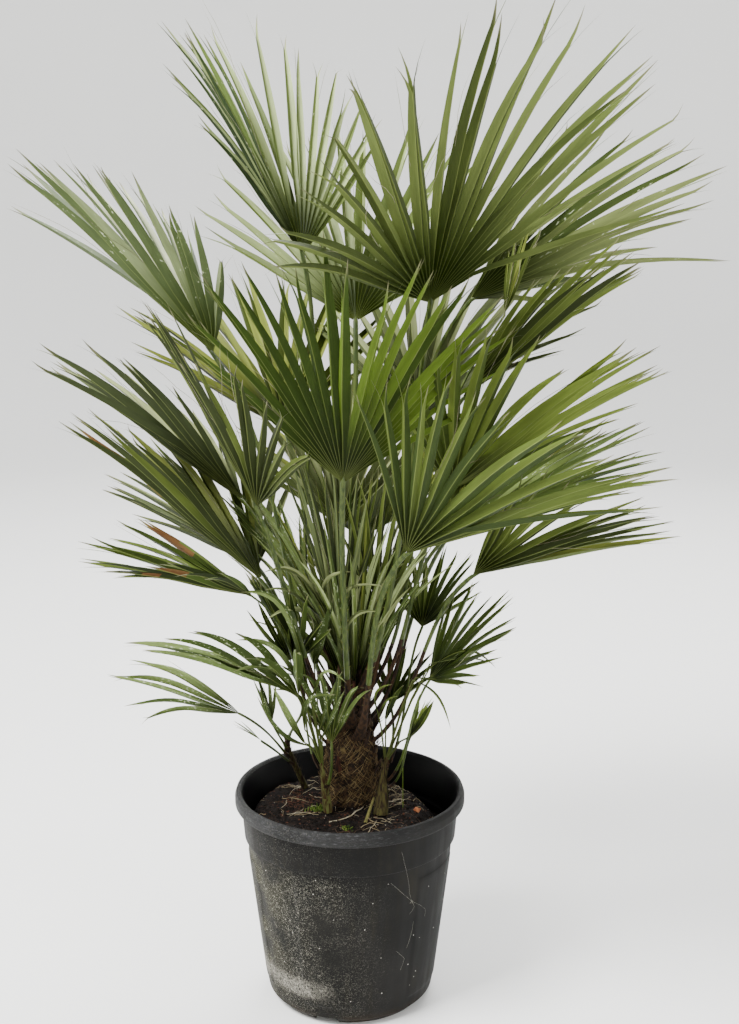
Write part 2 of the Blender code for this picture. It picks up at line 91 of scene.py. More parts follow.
def add(tree: Tree, kind: str, settings: dict | None = None, links: dict | None = None) -> bpy.types.Node:
    """Adds a node to a tree.

    Args:
        tree: the node tree it goes into.
        kind: the node's type name.
        settings: values by attribute name, or by input name or number.
        links: sockets that feed its inputs, by input name or number.

    Returns:
        The new node.
    """
    node = tree.nodes.new(kind)
    for name, value in (settings or {}).items():
        if isinstance(name, int) or name in node.inputs:
            node.inputs[name].default_value = value
        else:
            setattr(node, name, value)
    for name, socket in (links or {}).items():
        tree.links.new(socket, node.inputs[name])
    return node


def patterns(tree: Tree, place: Socket, *table: tuple[tuple[float, ...], dict]) -> list[Socket]:
    """Cloudy patterns, each stretched along the axes and broken up by its own settings.

    Args:
        tree: the node tree.
        place: coordinates in metres.
        table: each pattern's repeats per metre along X, Y and Z, and its noise settings.

    Returns:
        Each pattern's value, in order.
    """
    made = []
    for repeats, settings in table:
        drawn = add(tree, "ShaderNodeMapping", {"Scale": repeats}, {"Vector": place}).outputs[0]
        noisy = add(tree, "ShaderNodeTexNoise", {"Scale": 1.0, **settings}, {"Vector": drawn})
        made.append(noisy.outputs["Fac"])
    return made


def mask(tree: Tree, *spans: tuple | Socket) -> Socket:
    """Multiplies values together, each a socket, or a socket with the values that give 0 and 1.

    Args:
        tree: the node tree.
        spans: the values; (socket, low, high) is spread from 0 at low to 1 at high.

    Returns:
        The product's socket.
    """
    result = None
    for span in spans:
        if isinstance(span, tuple):
            value, low, high = span
            eased = {"interpolation_type": "SMOOTHSTEP", "From Min": low, "From Max": high}
            span = add(tree, "ShaderNodeMapRange", eased, {"Value": value}).outputs["Result"]
        if result is not None:
            span = add(tree, "ShaderNodeMath", {"operation": "MULTIPLY"}, {0: result, 1: span}).outputs[0]
        result = span
    return result


def layered(tree: Tree, colour: object, *coats: tuple[Socket, object]) -> Socket:
    """Lays colours over each other, each a hex value or a socket.

    Args:
        tree: the node tree.
        colour: the lowest colour.
        coats: how much of each further colour shows, and that colour.

    Returns:
        The last colour's socket.
    """
    for factor, coat in coats:
        node = add(tree, "ShaderNodeMix", {"data_type": "RGBA"}, {0: factor})
        for number, shade in ((6, colour), (7, coat)):
            if isinstance(shade, str):
                node.inputs[number].default_value = linear(shade)
            else:
                tree.links.new(shade, node.inputs[number])
        colour = node.outputs[2]
    return colour


def blank(name: str) -> tuple[Material, Tree, Socket]:
    """Starts a material that has only its Principled shader.

    Args:
        name: the material's name.

    Returns:
        The material, its tree, and the place of each point in metres.
    """
    material = bpy.data.materials.new(name)
    material.use_nodes = True
    tree = material.node_tree
    return material, tree, add(tree, "ShaderNodeTexCoord").outputs["Object"]


def finished(material: Material, colour: Socket,
             roughness: float | Socket, shine: float = 0.5, ior: float = 1.5,
             relief: tuple | None = None) -> Material:
    """Puts the colour, the relief and the even values on a material's shader.

    Args:
        material: the material.
        colour: its colour.
        roughness: one value, or a socket where it changes from place to place.
        shine: how strongly it mirrors light; dust and down weaken it.
        ior: its index of refraction.
        relief: the height's socket, and the strength and depth of the bump.

    Returns:
        The material.
    """
    tree = material.node_tree
    shader = tree.nodes["Principled BSDF"]
    tree.links.new(colour, shader.inputs["Base Color"])
    if relief:
        height, strength, depth = relief
        bump = add(tree, "ShaderNodeBump", {"Strength": strength, "Distance": depth}, {"Height": height})
        tree.links.new(bump.outputs[0], shader.inputs["Normal"])
    if isinstance(roughness, float):
        shader.inputs["Roughness"].default_value = roughness
    else:
        tree.links.new(roughness, shader.inputs["Roughness"])
    shader.inputs["IOR"].default_value = ior
    shader.inputs["Specular IOR Level"].default_value = shine
    return material


def shown(name: str, data: bpy.types.ID) -> bpy.types.Object:
    """Puts data into the scene as an object."""
    item = bpy.data.objects.new(name, data)
    bpy.context.scene.collection.objects.link(item)
    return item


def polar(radius: float, turn: float, z: float = 0.0) -> Vector:
    """The point at a radius, an angle and a height."""
    return Vector((radius * math.cos(turn), radius * math.sin(turn), z))


def turns(sides: int) -> list[float]:
    """Angles of the corners of a ring."""
    return [math.tau * m / sides for m in range(sides)]


def clamped(value: float) -> float:
    """A value kept between 0 and 1."""
    return min(max(value, 0.0), 1.0)


@dataclass(frozen=True)
class LeafFinish:
    """Living palm leaf: a satin cuticle over ribbed green tissue.

    Fine parallel veins catch the light along each leaflet, the green drifts in long streaks, a
    darker green is painted towards the hub as painted shade where the leaflets crowd, and the rib
    and the dry tip are paler. Reddish blotches lie across the middle where there is blush. Veins
    are about 0.5 mm apart in life, and are drawn coarser so that they show.
    """

    name: str
    colour: str
    drift: str
    # Painted shade: this green is laid over the leaflet towards the hub.
    deep: str = "20260a"
    rib: str = "7f8a4c"
    dry: str = "6d6a52"
    roughness: float = 0.42
    vein: float = 2.4 * MM
    streak: float = 7.0 * MM
    rib_width: float = 0.9 * MM
    wool: float = 0.0
    fluff: str = "b3bb98"
    hair: float = 2.2 * MM
    blush: float = 0.0
    red: str = "443410"
    shine: float = 0.08

    def make(self) -> Material:
        """Builds the material."""
        material, tree, _ = blank(self.name)
        place = add(tree, "ShaderNodeUVMap", {"uv_map": "Leaf"}).outputs[0]
        axes = add(tree, "ShaderNodeSeparateXYZ", links={"Vector": place})
        share = add(tree, "ShaderNodeMath", {"operation": "FRACT"}, {0: axes.outputs["Y"]}).outputs[0]
        aside = add(tree, "ShaderNodeMath", {"operation": "ABSOLUTE"}, {0: axes.outputs["X"]}).outputs[0]
        cloud, down = patterns(tree, place, ((1.0 / self.streak, 5.0, 1.0), {"Detail": 4.0}),
                               ((1.0 / self.hair, 45.0, 1.0), {"Detail": 3.0}))
        coats = [(mask(tree, (cloud, 0.35, 0.66)), self.drift)]
        if self.wool:
            coats.append((mask(tree, (down, 0.60 - 0.12 * self.wool, 0.66),
                               (cloud, 0.60 - 0.2 * self.wool, 0.62)), self.fluff))
        if self.blush:
            coats.append((mask(tree, (cloud, 0.68 - 0.3 * self.blush, 0.75), (share, 0.16, 0.30),
                               (share, 0.75, 0.5)), self.red))
        faint = add(tree, "ShaderNodeMapRange", {"From Min": 0.0, "From Max": 0.9, "To Min": 0.22,
                                                 "To Max": 0.5}, {"Value": share}).outputs["Result"]
        # Painted shade: the deep green darkens each leaflet towards the hub.
        coats += [(mask(tree, (share, 0.46, 0.08)), self.deep),
                  (mask(tree, (aside, self.rib_width, 0.3 * self.rib_width), faint), self.rib),
                  (mask(tree, (share, 0.80, 0.895)), self.dry)]
        veins = add(tree, "ShaderNodeTexWave", {"Scale": 0.31 / self.vein, "Distortion": 0.6, "Detail": 1.0},
                    {"Vector": place})
        return finished(material, layered(tree, self.colour, *coats), self.roughness, self.shine, 1.45,
                        (veins.outputs["Fac"], 0.35, 0.3 * MM))


@dataclass(frozen=True)
class FibreFinish:
    """Dry plant fibre: matt and dusty, its colour broken in fine grains, stretched upright."""

    name: str
    colour: str
    drift: str
    grain: float = 4.0 * MM
    roughness: float = 0.85
    stretch: float = 1.0

    def make(self) -> Material:
        """Builds the material."""
        material, tree, place = blank(self.name)
        fine = 0.5 / self.grain
        grain, = patterns(tree, place, ((fine, fine, fine / self.stretch), {"Detail": 4.0}))
        colour = layered(tree, self.colour, (mask(tree, (grain, 0.38, 0.62)), self.drift))
        return finished(material, colour, self.roughness, 0.25, relief=(grain, 0.5, 0.5 * MM))


def fibres(*table: tuple) -> list[Material]:
    """Dry fibre finishes, each from its name, its two colours and what else it sets."""
    return [FibreFinish(*row).make() for row in table]


@dataclass(frozen=True)
class PotFinish:
    """Weathered black polypropylene, injection moulded, with lime and green algae dried on it.

    The moulded skin is a satin charcoal, greyed by dust that ran down it in streaks. Pale specks
    of lime crowd the left and the foot, with a few bright white dots. Specks are 1 to 3 mm.
    """

    name: str = "Weathered black polypropylene"
    skin: str = "050504"
    worn: str = "11100e"
    dust: str = "1a1812"
    speck: str = "a5a193"
    lime: str = "8f8b80"
    dot: str = "d3d0c6"
    earth: str = "241b10"
    # The rim's band and scuffed top: partly the rim's own grey and scuffs, partly painted highlight, lighter
    # towards the left.
    rim_grey_and_painted_highlight: str = "262626"
    rim_scuffs_and_painted_highlight: str = "414243"
    film: str = "17160f"
    algae: str = "2a2816"
    speck_size: float = 2.2 * MM
    dot_pitch: float = 15.0 * MM
    brim: float = 0.3525
    collar: tuple[float, float] = (0.300, 0.275)

    def make(self) -> Material:
        """Builds the material."""
        material, tree, place = blank(self.name)
        axes = add(tree, "ShaderNodeSeparateXYZ", links={"Vector": place})
        across, height = axes.outputs["X"], axes.outputs["Z"]
        cloud, runs, rubbed, patch, speck, curl = patterns(
            tree, place, ((9.0,) * 3, {"Detail": 5.0}), ((70.0, 70.0, 5.0), {"Detail": 4.0}),
            ((110.0, 110.0, 420.0), {"Detail": 5.0, "Roughness": 0.7}), ((16.0,) * 3, {"Detail": 3.0}),
            ((0.7 / self.speck_size,) * 3, {"Detail": 5.0, "Roughness": 0.65, "Distortion": 1.6}),
            ((0.30 / self.speck_size,) * 3, {"Detail": 3.0, "Distortion": 2.5}))
        left, body = mask(tree, (across, 0.10, -0.13)), mask(tree, (height, *self.collar))
        level = add(tree, "ShaderNodeMath", {"operation": "SUBTRACT", 1: 0.5}, {0: curl}).outputs[0]
        ridge = add(tree, "ShaderNodeMath", {"operation": "ABSOLUTE"}, {0: level}).outputs[0]
        fewer = add(tree, "ShaderNodeMapRange", {"From Min": self.collar[1], "From Max": self.collar[0],
                                                 "To Min": 1.0, "To Max": 0.25}, {"Value": height})
        cells = add(tree, "ShaderNodeTexVoronoi", {"Scale": 1.0 / self.dot_pitch}, {"Vector": place}).outputs
        coats = ((self.worn, (cloud, 0.4, 0.65)),
                 (self.dust, (runs, 0.50, 0.80), (cloud, 0.3, 0.6)),
                 # Painted highlight over the rim's own grey and scuffs: the band and the scuffed top fade
                 # out towards the right.
                 (self.rim_grey_and_painted_highlight, (height, self.brim, 0.3545), (across, 0.22, -0.16), (cloud, 0.15, 0.55)),
                 (self.rim_scuffs_and_painted_highlight, (rubbed, 0.50, 0.72), (height, self.brim, 0.3600), (across, 0.20, -0.05)),
                 (self.film, body, left, (speck, 0.42, 0.60)),
                 (self.algae, (across, -0.085, -0.170), body, (patch, 0.35, 0.6)),
                 (self.speck, (ridge, 0.034, 0.006), left, (patch, 0.22, 0.62), (speck, 0.47, 0.60),
                  fewer.outputs["Result"]),
                 (self.lime, (height, 0.090, 0.070), (height, 0.040, 0.056), (across, -0.01, -0.08),
                  (speck, 0.40, 0.62), (patch, 0.30, 0.60)),
                 (self.earth, (height, 0.030, 0.002), (patch, 0.38, 0.56)),
                 (self.dot, (cells["Distance"], 0.075, 0.045), (cells["Color"], 0.50, 0.55), body))
        colour = layered(tree, self.skin, *((mask(tree, *spans), coat) for coat, *spans in coats))
        gloss = add(tree, "ShaderNodeMapRange", {"To Min": 0.45, "To Max": 0.8}, {"Value": runs})
        return finished(material, colour, gloss.outputs["Result"], 0.14, 1.49, (speck, 0.3, 0.4 * MM))


@dataclass(frozen=True)
class InnerFinish:
    """The pot's inner wall: unweathered black polypropylene, smooth and a little glossy."""

    name: str = "Clean black polypropylene"
    skin: str = "000000"
    film: str = "030303"

    def make(self) -> Material:
        """Builds the material."""
        material, tree, place = blank(self.name)
        film, = patterns(tree, place, ((28.0,) * 3, {"Detail": 4.0}))
        colour = layered(tree, self.skin, (mask(tree, (film, 0.45, 0.7)), self.film))
        return finished(material, colour, 0.34, 0.10, 1.49)


@dataclass(frozen=True)
class PeatFinish:
    """Damp peat: almost black, matt and crumbly, with brown fibres in it."""

    name: str = "Damp peat"
    wet: str = "060403"
    dry: str = "1c130c"
    crumb: float = 3.0 * MM

    def make(self) -> Material:
        """Builds the material."""
        material, tree, place = blank(self.name)
        grain, = patterns(tree, place, ((0.6 / self.crumb,) * 3, {"Detail": 6.0, "Roughness": 0.7}))
        colour = layered(tree, self.wet, (mask(tree, (grain, 0.42, 0.66)), self.dry))
        return finished(material, colour, 0.92, 0.15, relief=(grain, 0.9, 1.5 * MM))


@dataclass(frozen=True)
class FloorFinish:
    """Seamless matt studio floor, painted off-white, with the faintest unevenness."""

    name: str = "Studio floor paint"
    colour: str = "f1f1ef"
    drift: str = "ededea"

    def make(self) -> Material:
        """Builds the material."""
        material, tree, place = blank(self.name)
        cloud, = patterns(tree, place, ((1.5,) * 3, {"Detail": 2.0}))
        return finished(material, layered(tree, self.colour, (cloud, self.drift)), 0.95)


@dataclass
class Net:
    """Faces gathered for one piece, each with its finish and its place across and along."""

    verts: list[Vector] = field(default_factory=list)
    faces: list[tuple[int, ...]] = field(default_factory=list)
    slots: list[int] = field(default_factory=list)
    places: list[tuple[float, float]] = field(default_factory=list)

    def point(self, spot: Vector) -> int:
        """Adds a point and returns its number."""
        self.verts.append(spot)
        return len(self.verts) - 1

    def face(self, corners: tuple[int, ...], slot: int = 0,
             places: list[tuple[float, float]] | None = None) -> None:
        """Adds a face.

        Args:
            corners: its points' numbers, anticlockwise from outside.
            slot: number of its finish.
            places: each corner's distance across and along the leaf.
        """
        self.faces.append(corners)
        self.slots.append(slot)
        self.places.extend(places or [(0.0, 0.0)] * len(corners))

    def ring(self, spots: Iterable[Vector]) -> list[int]:
        """Adds a row of points and returns their numbers."""
        return [self.point(spot) for spot in spots]

    def skin(self, rows: list[list[int]], slot: int = 0, turned: bool = False) -> None:
        """Joins rings of points one after the other; a ring of one point is a pole.

        Args:
            rows: each ring's points' numbers.
            slot: number of its finish.
            turned: whether the faces are turned over.
        """
        for low, high in zip(rows, rows[1:]):
            sides = max(len(low), len(high))
            for m in range(sides if sides > 1 else 0):
                n = (m + 1) % sides
                if len(low) == 1:
                    corners = (low[0], high[n], high[m])
                elif len(high) == 1:
                    corners = (low[m], low[n], high[0])
                else:
                    corners = (low[m], low[n], high[n], high[m])
                self.face(corners[:1] + corners[:0:-1] if turned else corners, slot)

    def tube(self, points: list[Vector], radii: list[float], sides: int = 4, slot: int = 0) -> None:
        """Adds a round tube along points, closed at a radius of nothing.

        Args:
            points: its middle line.
            radii: its radius at each point.
            sides: how many sides it has.
            slot: number of its finish.
        """
        over = Vector((0.31, 0.22, 0.92))
        rows = []
        for i, spot in enumerate(points):
            ahead = points[min(i + 1, len(points) - 1)] - points[max(i - 1, 0)]
            across = ahead.cross(over)
            if across.length < 1e-9:
                across = ahead.orthogonal()
            across.normalize()
            over = across.cross(ahead).normalized()
            rows.append(self.ring(spot + (across * math.cos(turn) + over * math.sin(turn)) * radii[i]
                                  for turn in (turns(sides) if radii[i] > 0.0 else [0.0])))
        self.skin(rows, slot)

    def lump(self, spot: Vector, size: Vector, chance: Random, slot: int = 0) -> None:
        """Adds an irregular eight-sided crumb.

        Args:
            spot: its middle.
            size: half its extent each way.
            chance: the source of its unevenness.
            slot: number of its finish.
        """
        turn = Matrix.Rotation(chance.uniform(0.0, math.tau), 3, "Z")
        turn = turn @ Matrix.Rotation(chance.uniform(-0.7, 0.7), 3, "X")
        ring = []
        for way in ((1, 0, 0), (0, 1, 0), (-1, 0, 0), (0, -1, 0), (0, 0, 1), (0, 0, -1)):
            reach = chance.uniform(0.7, 1.25)
            ring.append(self.point(spot + turn @ Vector([w * s * reach for w, s in zip(way, size)])))
        for m in range(4):
            n = (m + 1) % 4
            self.face((ring[m], ring[n], ring[4]), slot)
            self.face((ring[n], ring[m], ring[5]), slot)

    def half_blade(self, rows: list[tuple], hand: int, away: float) -> None:
        """Adds one side of a leaflet, from its margin to its midrib, upper face and under face.

        Args:
            rows: spot, side, half widths, parting, dip, thickness, share along and finish.
            hand: 1 for the left side, -1 for the right.
            away: whole number that starts its pattern elsewhere.
        """
        before = None
        for spot, side, wide, part, dip, thick, s, slot in rows:
            width = wide[0] if hand > 0 else wide[1]
            inner = self.point(spot + side * (hand * part) - dip)
            if s == 1.0:
                outer = under = inner
            else:
                outer = self.point(spot + side * (hand * (width + part)))
                under = self.point(spot + side * (hand * part) - dip - thick)
            here = (outer, inner, under, width * hand, 0.9 * s + away, slot[hand > 0])
            if before:
                self.blade_faces(before, here, hand)
            before = here

    def blade_faces(self, before: tuple, here: tuple, hand: int) -> None:
        """Adds the upper and under face of one side of a leaflet between two stations.

        Args:
            before: margin, midrib, underside, width, place along and finish at the nearer station.
            here: the same at the further one.
            hand: 1 for the left side, -1 for the right.
        """
        o0, i0, u0, w0, v0, slot = before
        o1, i1, u1, w1, v1, _ = here
        low = slot if slot == 4 else 2 + slot
        upper = [(o0, w0, v0), (i0, 0.0, v0), (i1, 0.0, v1), (o1, w1, v1)]
        under = [(o0, w0, v0), (o1, w1, v1), (u1, 0.0, v1), (u0, 0.0, v0)]
        for corners, finish in ((upper, slot), (under, low)):
            if o1 == i1:
                corners = [c for n, c in enumerate(corners) if n != (3 if corners is upper else 2)]
            if hand < 0:
                corners = corners[::-1]
            self.face(tuple(c[0] for c in corners), finish, [(c[1], c[2]) for c in corners])

    def item(self, name: str, finishes: list[Material], sharp: float = 38.0) -> bpy.types.Object:
        """Makes the gathered faces one object.

        Args:
            name: the object's name.
            finishes: its materials, in slot order.
            sharp: degrees between faces over which an edge stays sharp.

        Returns:
            The new object.
        """
        mesh = bpy.data.meshes.new(name)
        mesh.from_pydata([tuple(v) for v in self.verts], [], self.faces)
        mesh.polygons.foreach_set("material_index", self.slots)
        layer = mesh.uv_layers.new(name="Leaf")
        layer.data.foreach_set("uv", [value for pair in self.places for value in pair])
        mesh.shade_smooth()
        mesh.set_sharp_from_angle(angle=math.radians(sharp))
        for finish in finishes:
            mesh.materials.append(finish)
        return shown(name, mesh)

    def piece(self, name: str, finishes: list[Material], slot: str,
              nodes: tuple[str, ...] = (), sharp: float = 38.0) -> bpy.types.Object:
        """Makes the gathered faces one piece that rides with the plant.

        Args:
            name: the piece's name.
            finishes: its materials, in slot order.
            slot: not used.
            nodes: the CAD nodes that it stands for.
            sharp: degrees between faces over which an edge stays sharp.

        Returns:
            The new object.
        """
        item = self.item(name, finishes, sharp)
        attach(item, BODY)
        if nodes:
            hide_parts(*nodes)
        LOG.info("%s: %d faces", name, len(self.faces))
        return item


class Tone(Enum):
    """Greens of the crown: upper face and its drift, under face and its drift, and painted shade by the hub.
    """

    # Under faces are darker than upper faces, partly their own green and partly painted shade beneath the
    # leaves.
    OLIVE = ("516421", "6c7e40", "3b451e", "535e30", "1a2600")
    PALE = ("63723b", "8b9766", "334223", "4f5f2e", "1d2800")
    SILVER = ("7b856c", "a1a58a", "515e39", "6f7a54", "2c390d")
    BLUISH = ("56663c", "6f7e53", "39451f", "5d663b", "1b2600")
    GREEN = ("435313", "607328", "2f3f12", "4a5d1c", "131c00")
    LEAFY = ("46521c", "647031", "303d19", "475323", "141d00")
    DEEP = ("404b1c", "646c2f", "2c3417", "455021", "141c00")
    SHADY = ("2c380f", "475324", "1d2708", "303d16", "0c1400")
    MIDDLE = ("657423", "8d9943", "42511f", "5f6e2d", "192200")
    GREY = ("525a37", "747b53", "353d23", "4d5636", "192004")
    YOUNG = ("44532a", "667544", "35431b", "4b5a2d", "222c08")


@dataclass(frozen=True)
class Stem:
    """A short stem from the peat up; radii run from its foot to its top."""

    node: str
    foot: Place
    top: Place
    radii: tuple[float, ...]
    low: float = 0.55
    high: float = 0.93

    def centre(self, h: float) -> Vector:
        """Its middle at a share h of its height."""
        return Vector(self.foot).lerp(Vector(self.top), h)

    def radius(self, h: float) -> float:
        """Its radius at a share h of its height, in straight runs between the given radii."""
        spot = clamped(h) * (len(self.radii) - 1)
        i = min(int(spot), len(self.radii) - 2)
        return self.radii[i] + (self.radii[i + 1] - self.radii[i]) * (spot - i)

    def steepness(self, spot: Place) -> float:
        """Angle above the level of a place seen from its top."""
        rise = Vector(spot) - self.centre(1.0)
        return math.atan2(rise.z, math.hypot(rise.x, rise.y))


@dataclass(frozen=True)
class Frond:
    """A palmate leaf: petiole to hub, then rays spread in a fan about the aim.

    aim is azimuth and pitch, and roll, span, fold and cup are degrees too. shift steps the petiole's
    foot round the stem in degrees, bow bends it sideways, and nudge moves the hub a little. blunt and
    broad shape each leaflet, brown is the share of leaflets with a dying patch, and split is where
    along its length a leaflet parts from the next.
    """

    name: str
    hub: Place
    aim: tuple[float, float]
    roll: float = 0.0
    length: float = 0.44
    span: float = 130.0
    fold: float = 20.0
    cup: float = 3.0
    count: int = 20
    tone: Tone = Tone.MIDDLE
    shift: float = 0.0
    bow: float = 0.0
    nudge: Place = (0.0, 0.0, 0.0)
    droop: float = 0.045
    curl: float = 0.03
    blunt: float = 2.0
    broad: float = 1.08
    brown: float = 0.0
    split: float = 0.34

    @property
    def node(self) -> str:
        """Its CAD node's name."""
        return "Frond_" + self.name


SOIL_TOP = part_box("Soil")[1].z
GAP = 0.3 * MM

STEMS = (
    Stem("Trunk", (0.000, 0.045, SOIL_TOP + GAP), (0.004, 0.050, 0.572),
         (0.050, 0.049, 0.050, 0.046, 0.041, 0.035, 0.030, 0.026, 0.023), 0.42, 0.97),
    Stem("Sucker_left", (-0.083, 0.092, SOIL_TOP + GAP), (-0.117, 0.065, 0.435),
         (0.0075, 0.0065, 0.0055)),
    Stem("Sucker_front", (-0.038, -0.012, SOIL_TOP + GAP), (-0.047, -0.030, 0.430),
         (0.0100, 0.0075, 0.0062)),
    Stem("Sucker_right", (0.054, -0.022, SOIL_TOP + GAP), (0.062, -0.012, 0.432),
         (0.0148, 0.0112, 0.0075), 0.50),
)

TRUNK, LEFT, FRONT, RIGHT = (stem.node for stem in STEMS)

FRONDS = {
    TRUNK: (
        Frond("top_front", (0.126, -0.146, 1.222), (-86, 55), 22, 0.56, 106, -5, -8, 24, Tone.OLIVE,
              broad=1.16),
        Frond("top_left", (-0.075, 0.046, 1.289), (148, 64), -2, 0.45, 118, 24, 0, 22, Tone.PALE),
        Frond("top_right", (0.207, 0.133, 1.209), (10, 22), -35, 0.49, 112, 16, 3, 18, Tone.BLUISH),
        Frond("right_upper", (0.191, 0.063, 1.049), (5, 36), -13, 0.41, 112, 18, 2, 18, Tone.DEEP, shift=-9,
              broad=1.2),
        Frond("left_upper", (-0.213, -0.074, 1.139), (-168, 41), 0, 0.43, 140, 26, 4, 22, Tone.SILVER),
        Frond("centre_front", (-0.006, -0.207, 0.955), (-82, 50), -6, 0.42, 156, 30, 8, 24, Tone.GREEN),
        Frond("right_middle", (0.170, -0.028, 0.911), (-50, 36), -13, 0.44, 118, 17, 3, 20, broad=1.22),
        Frond("right_front", (0.089, -0.237, 0.852), (-50, 20), -26, 0.45, 120, 25, 8, 20, Tone.LEAFY),
        Frond("right_low", (0.207, -0.024, 0.763), (-33, 18), -20, 0.37, 95, 35, 2, 16, Tone.DEEP),
        Frond("left_middle", (-0.140, -0.181, 0.913), (-111, 45), -32, 0.41, 84, 12, 5, 18, Tone.DEEP,
              broad=1.15),
        Frond("left_back", (-0.182, 0.059, 0.874), (168, 32), 18, 0.44, 112, 20, 3, 18, Tone.GREY,
              broad=1.35),
        Frond("left_grey", (-0.151, 0.045, 0.736), (162, 35), 6, 0.46, 88, 36, 1, 16, Tone.DEEP, brown=0.25,
              broad=1.25),
        Frond("left_low", (-0.155, -0.112, 0.752), (-152, 15), -3, 0.29, 108, 22, 4, 18, Tone.SHADY,
              brown=0.35, broad=1.35),
        Frond("back_top", (0.010, 0.170, 1.170), (92, 60), 0, 0.42, 140, 22, 3, 20, Tone.PALE),
        Frond("back_right", (0.120, 0.240, 0.990), (58, 40), 0, 0.43, 140, 20, 3, 20, Tone.GREY),
        Frond("back_left", (-0.120, 0.240, 0.970), (118, 38), 0, 0.43, 140, 20, 3, 20, Tone.DEEP),
        Frond("back_low", (0.020, 0.270, 0.760), (86, 24), 0, 0.42, 140, 20, 3, 18, Tone.DEEP),
        Frond("back_low_left", (-0.170, 0.200, 0.720), (140, 20), 0, 0.36, 125, 24, 3, 16, Tone.GREY),
        Frond("back_low_right", (0.180, 0.200, 0.780), (36, 24), 0, 0.38, 125, 24, 3, 16, Tone.DEEP),
        Frond("new_right", (0.255, 0.020, 1.192), (20, 66), 0, 0.17, 56, 20, 3, 8, Tone.DEEP, shift=36,
              bow=0.16),
        Frond("spear", (0.000, 0.032, 0.645), (-85, 80), 0, 0.34, 40, 40, 2, 10, Tone.LEAFY, split=0.14),
        Frond("woolly", (-0.095, 0.100, 0.685), (170, 48), 0, 0.24, 100, 20, 3, 12, Tone.YOUNG,
              nudge=(0.015, 0.0, 0.015)),
        Frond("right_pale", (0.155, 0.050, 0.801), (-12, 28), -4, 0.42, 86, 28, -1, 16, Tone.PALE),
        Frond("inner_left", (-0.030, 0.018, 0.650), (-135, 72), 0, 0.36, 60, 30, 2, 12, Tone.GREY,
              nudge=(0.015, 0.0, 0.0), split=0.18),
        Frond("inner_right", (0.034, 0.024, 0.655), (-45, 72), 0, 0.36, 60, 30, 2, 12, Tone.DEEP, shift=-27,
              bow=0.1, nudge=(0.015, 0.0, 0.0), split=0.18),
        Frond("inner_back", (0.000, 0.100, 0.820), (90, 68), 0, 0.33, 100, 28, 2, 14, Tone.GREY,
              nudge=(-0.015, -0.015, 0.0)),
    ),
    FRONT: (
        Frond("small_centre", (-0.087, -0.024, 0.614), (-150, 60), 0, 0.20, 130, 18, 3, 12, Tone.SHADY),
        Frond("sucker_front", (-0.030, -0.050, 0.475), (-112, 68), 0, 0.22, 70, 18, 2, 8, Tone.YOUNG,
              droop=0.16, curl=0.12, blunt=3.0, split=0.12),
    ),
    LEFT: (
        Frond("sucker_long", (-0.085, -0.062, 0.563), (-147, 36), 15, 0.30, 105, 16, 2, 8, Tone.YOUNG,
              droop=0.12, blunt=2.6, broad=0.9, split=0.16),
        Frond("sucker_left", (-0.184, -0.050, 0.528), (-168, 24), -28, 0.24, 58, 14, 2, 6, Tone.YOUNG,
              droop=0.10, blunt=2.6, broad=0.85, split=0.16),
        Frond("sucker_bud", (-0.151, -0.020, 0.468), (170, 30), 0, 0.06, 26, 30, 2, 4, Tone.YOUNG),
        Frond("sucker_vee", (-0.133, -0.010, 0.498), (170, 65), 0, 0.09, 90, 30, 2, 6, Tone.YOUNG),
    ),
    RIGHT: (
        Frond("sucker_right", (0.133, -0.082, 0.599), (-15, 48), 24, 0.21, 124, 14, -3, 14, Tone.SHADY),
        Frond("sucker_upper", (0.111, 0.021, 0.650), (60, 46), 0, 0.17, 122, 18, 2, 12, Tone.SHADY,
              shift=-36, bow=0.16, nudge=(0.015, 0.030, 0.0)),
        Frond("sucker_curly", (0.056, 0.020, 0.525), (60, 40), 0, 0.13, 110, 18, 2, 8, Tone.SHADY, shift=9,
              bow=-0.16, nudge=(0.015, 0.030, -0.015)),
        Frond("sucker_fold", (0.105, -0.020, 0.478), (-30, 60), 0, 0.09, 40, 35, 2, 4),
    ),
}


def bezier(points: tuple[Vector, ...], t: float) -> Vector:
    """Point on a cubic.

    Args:
        points: its four control points.
        t: share of the way along, 0 to 1.

    Returns:
        The point.
    """
    a, b, c, d = points
    s = 1.0 - t
    return a * s ** 3 + b * 3 * s * s * t + c * 3 * s * t * t + d * t ** 3


def square_to(vector: Vector, along: Vector) -> Vector:
    """The part of a vector square to a direction, as a unit vector."""
    return (vector - along * vector.dot(along)).normalized()


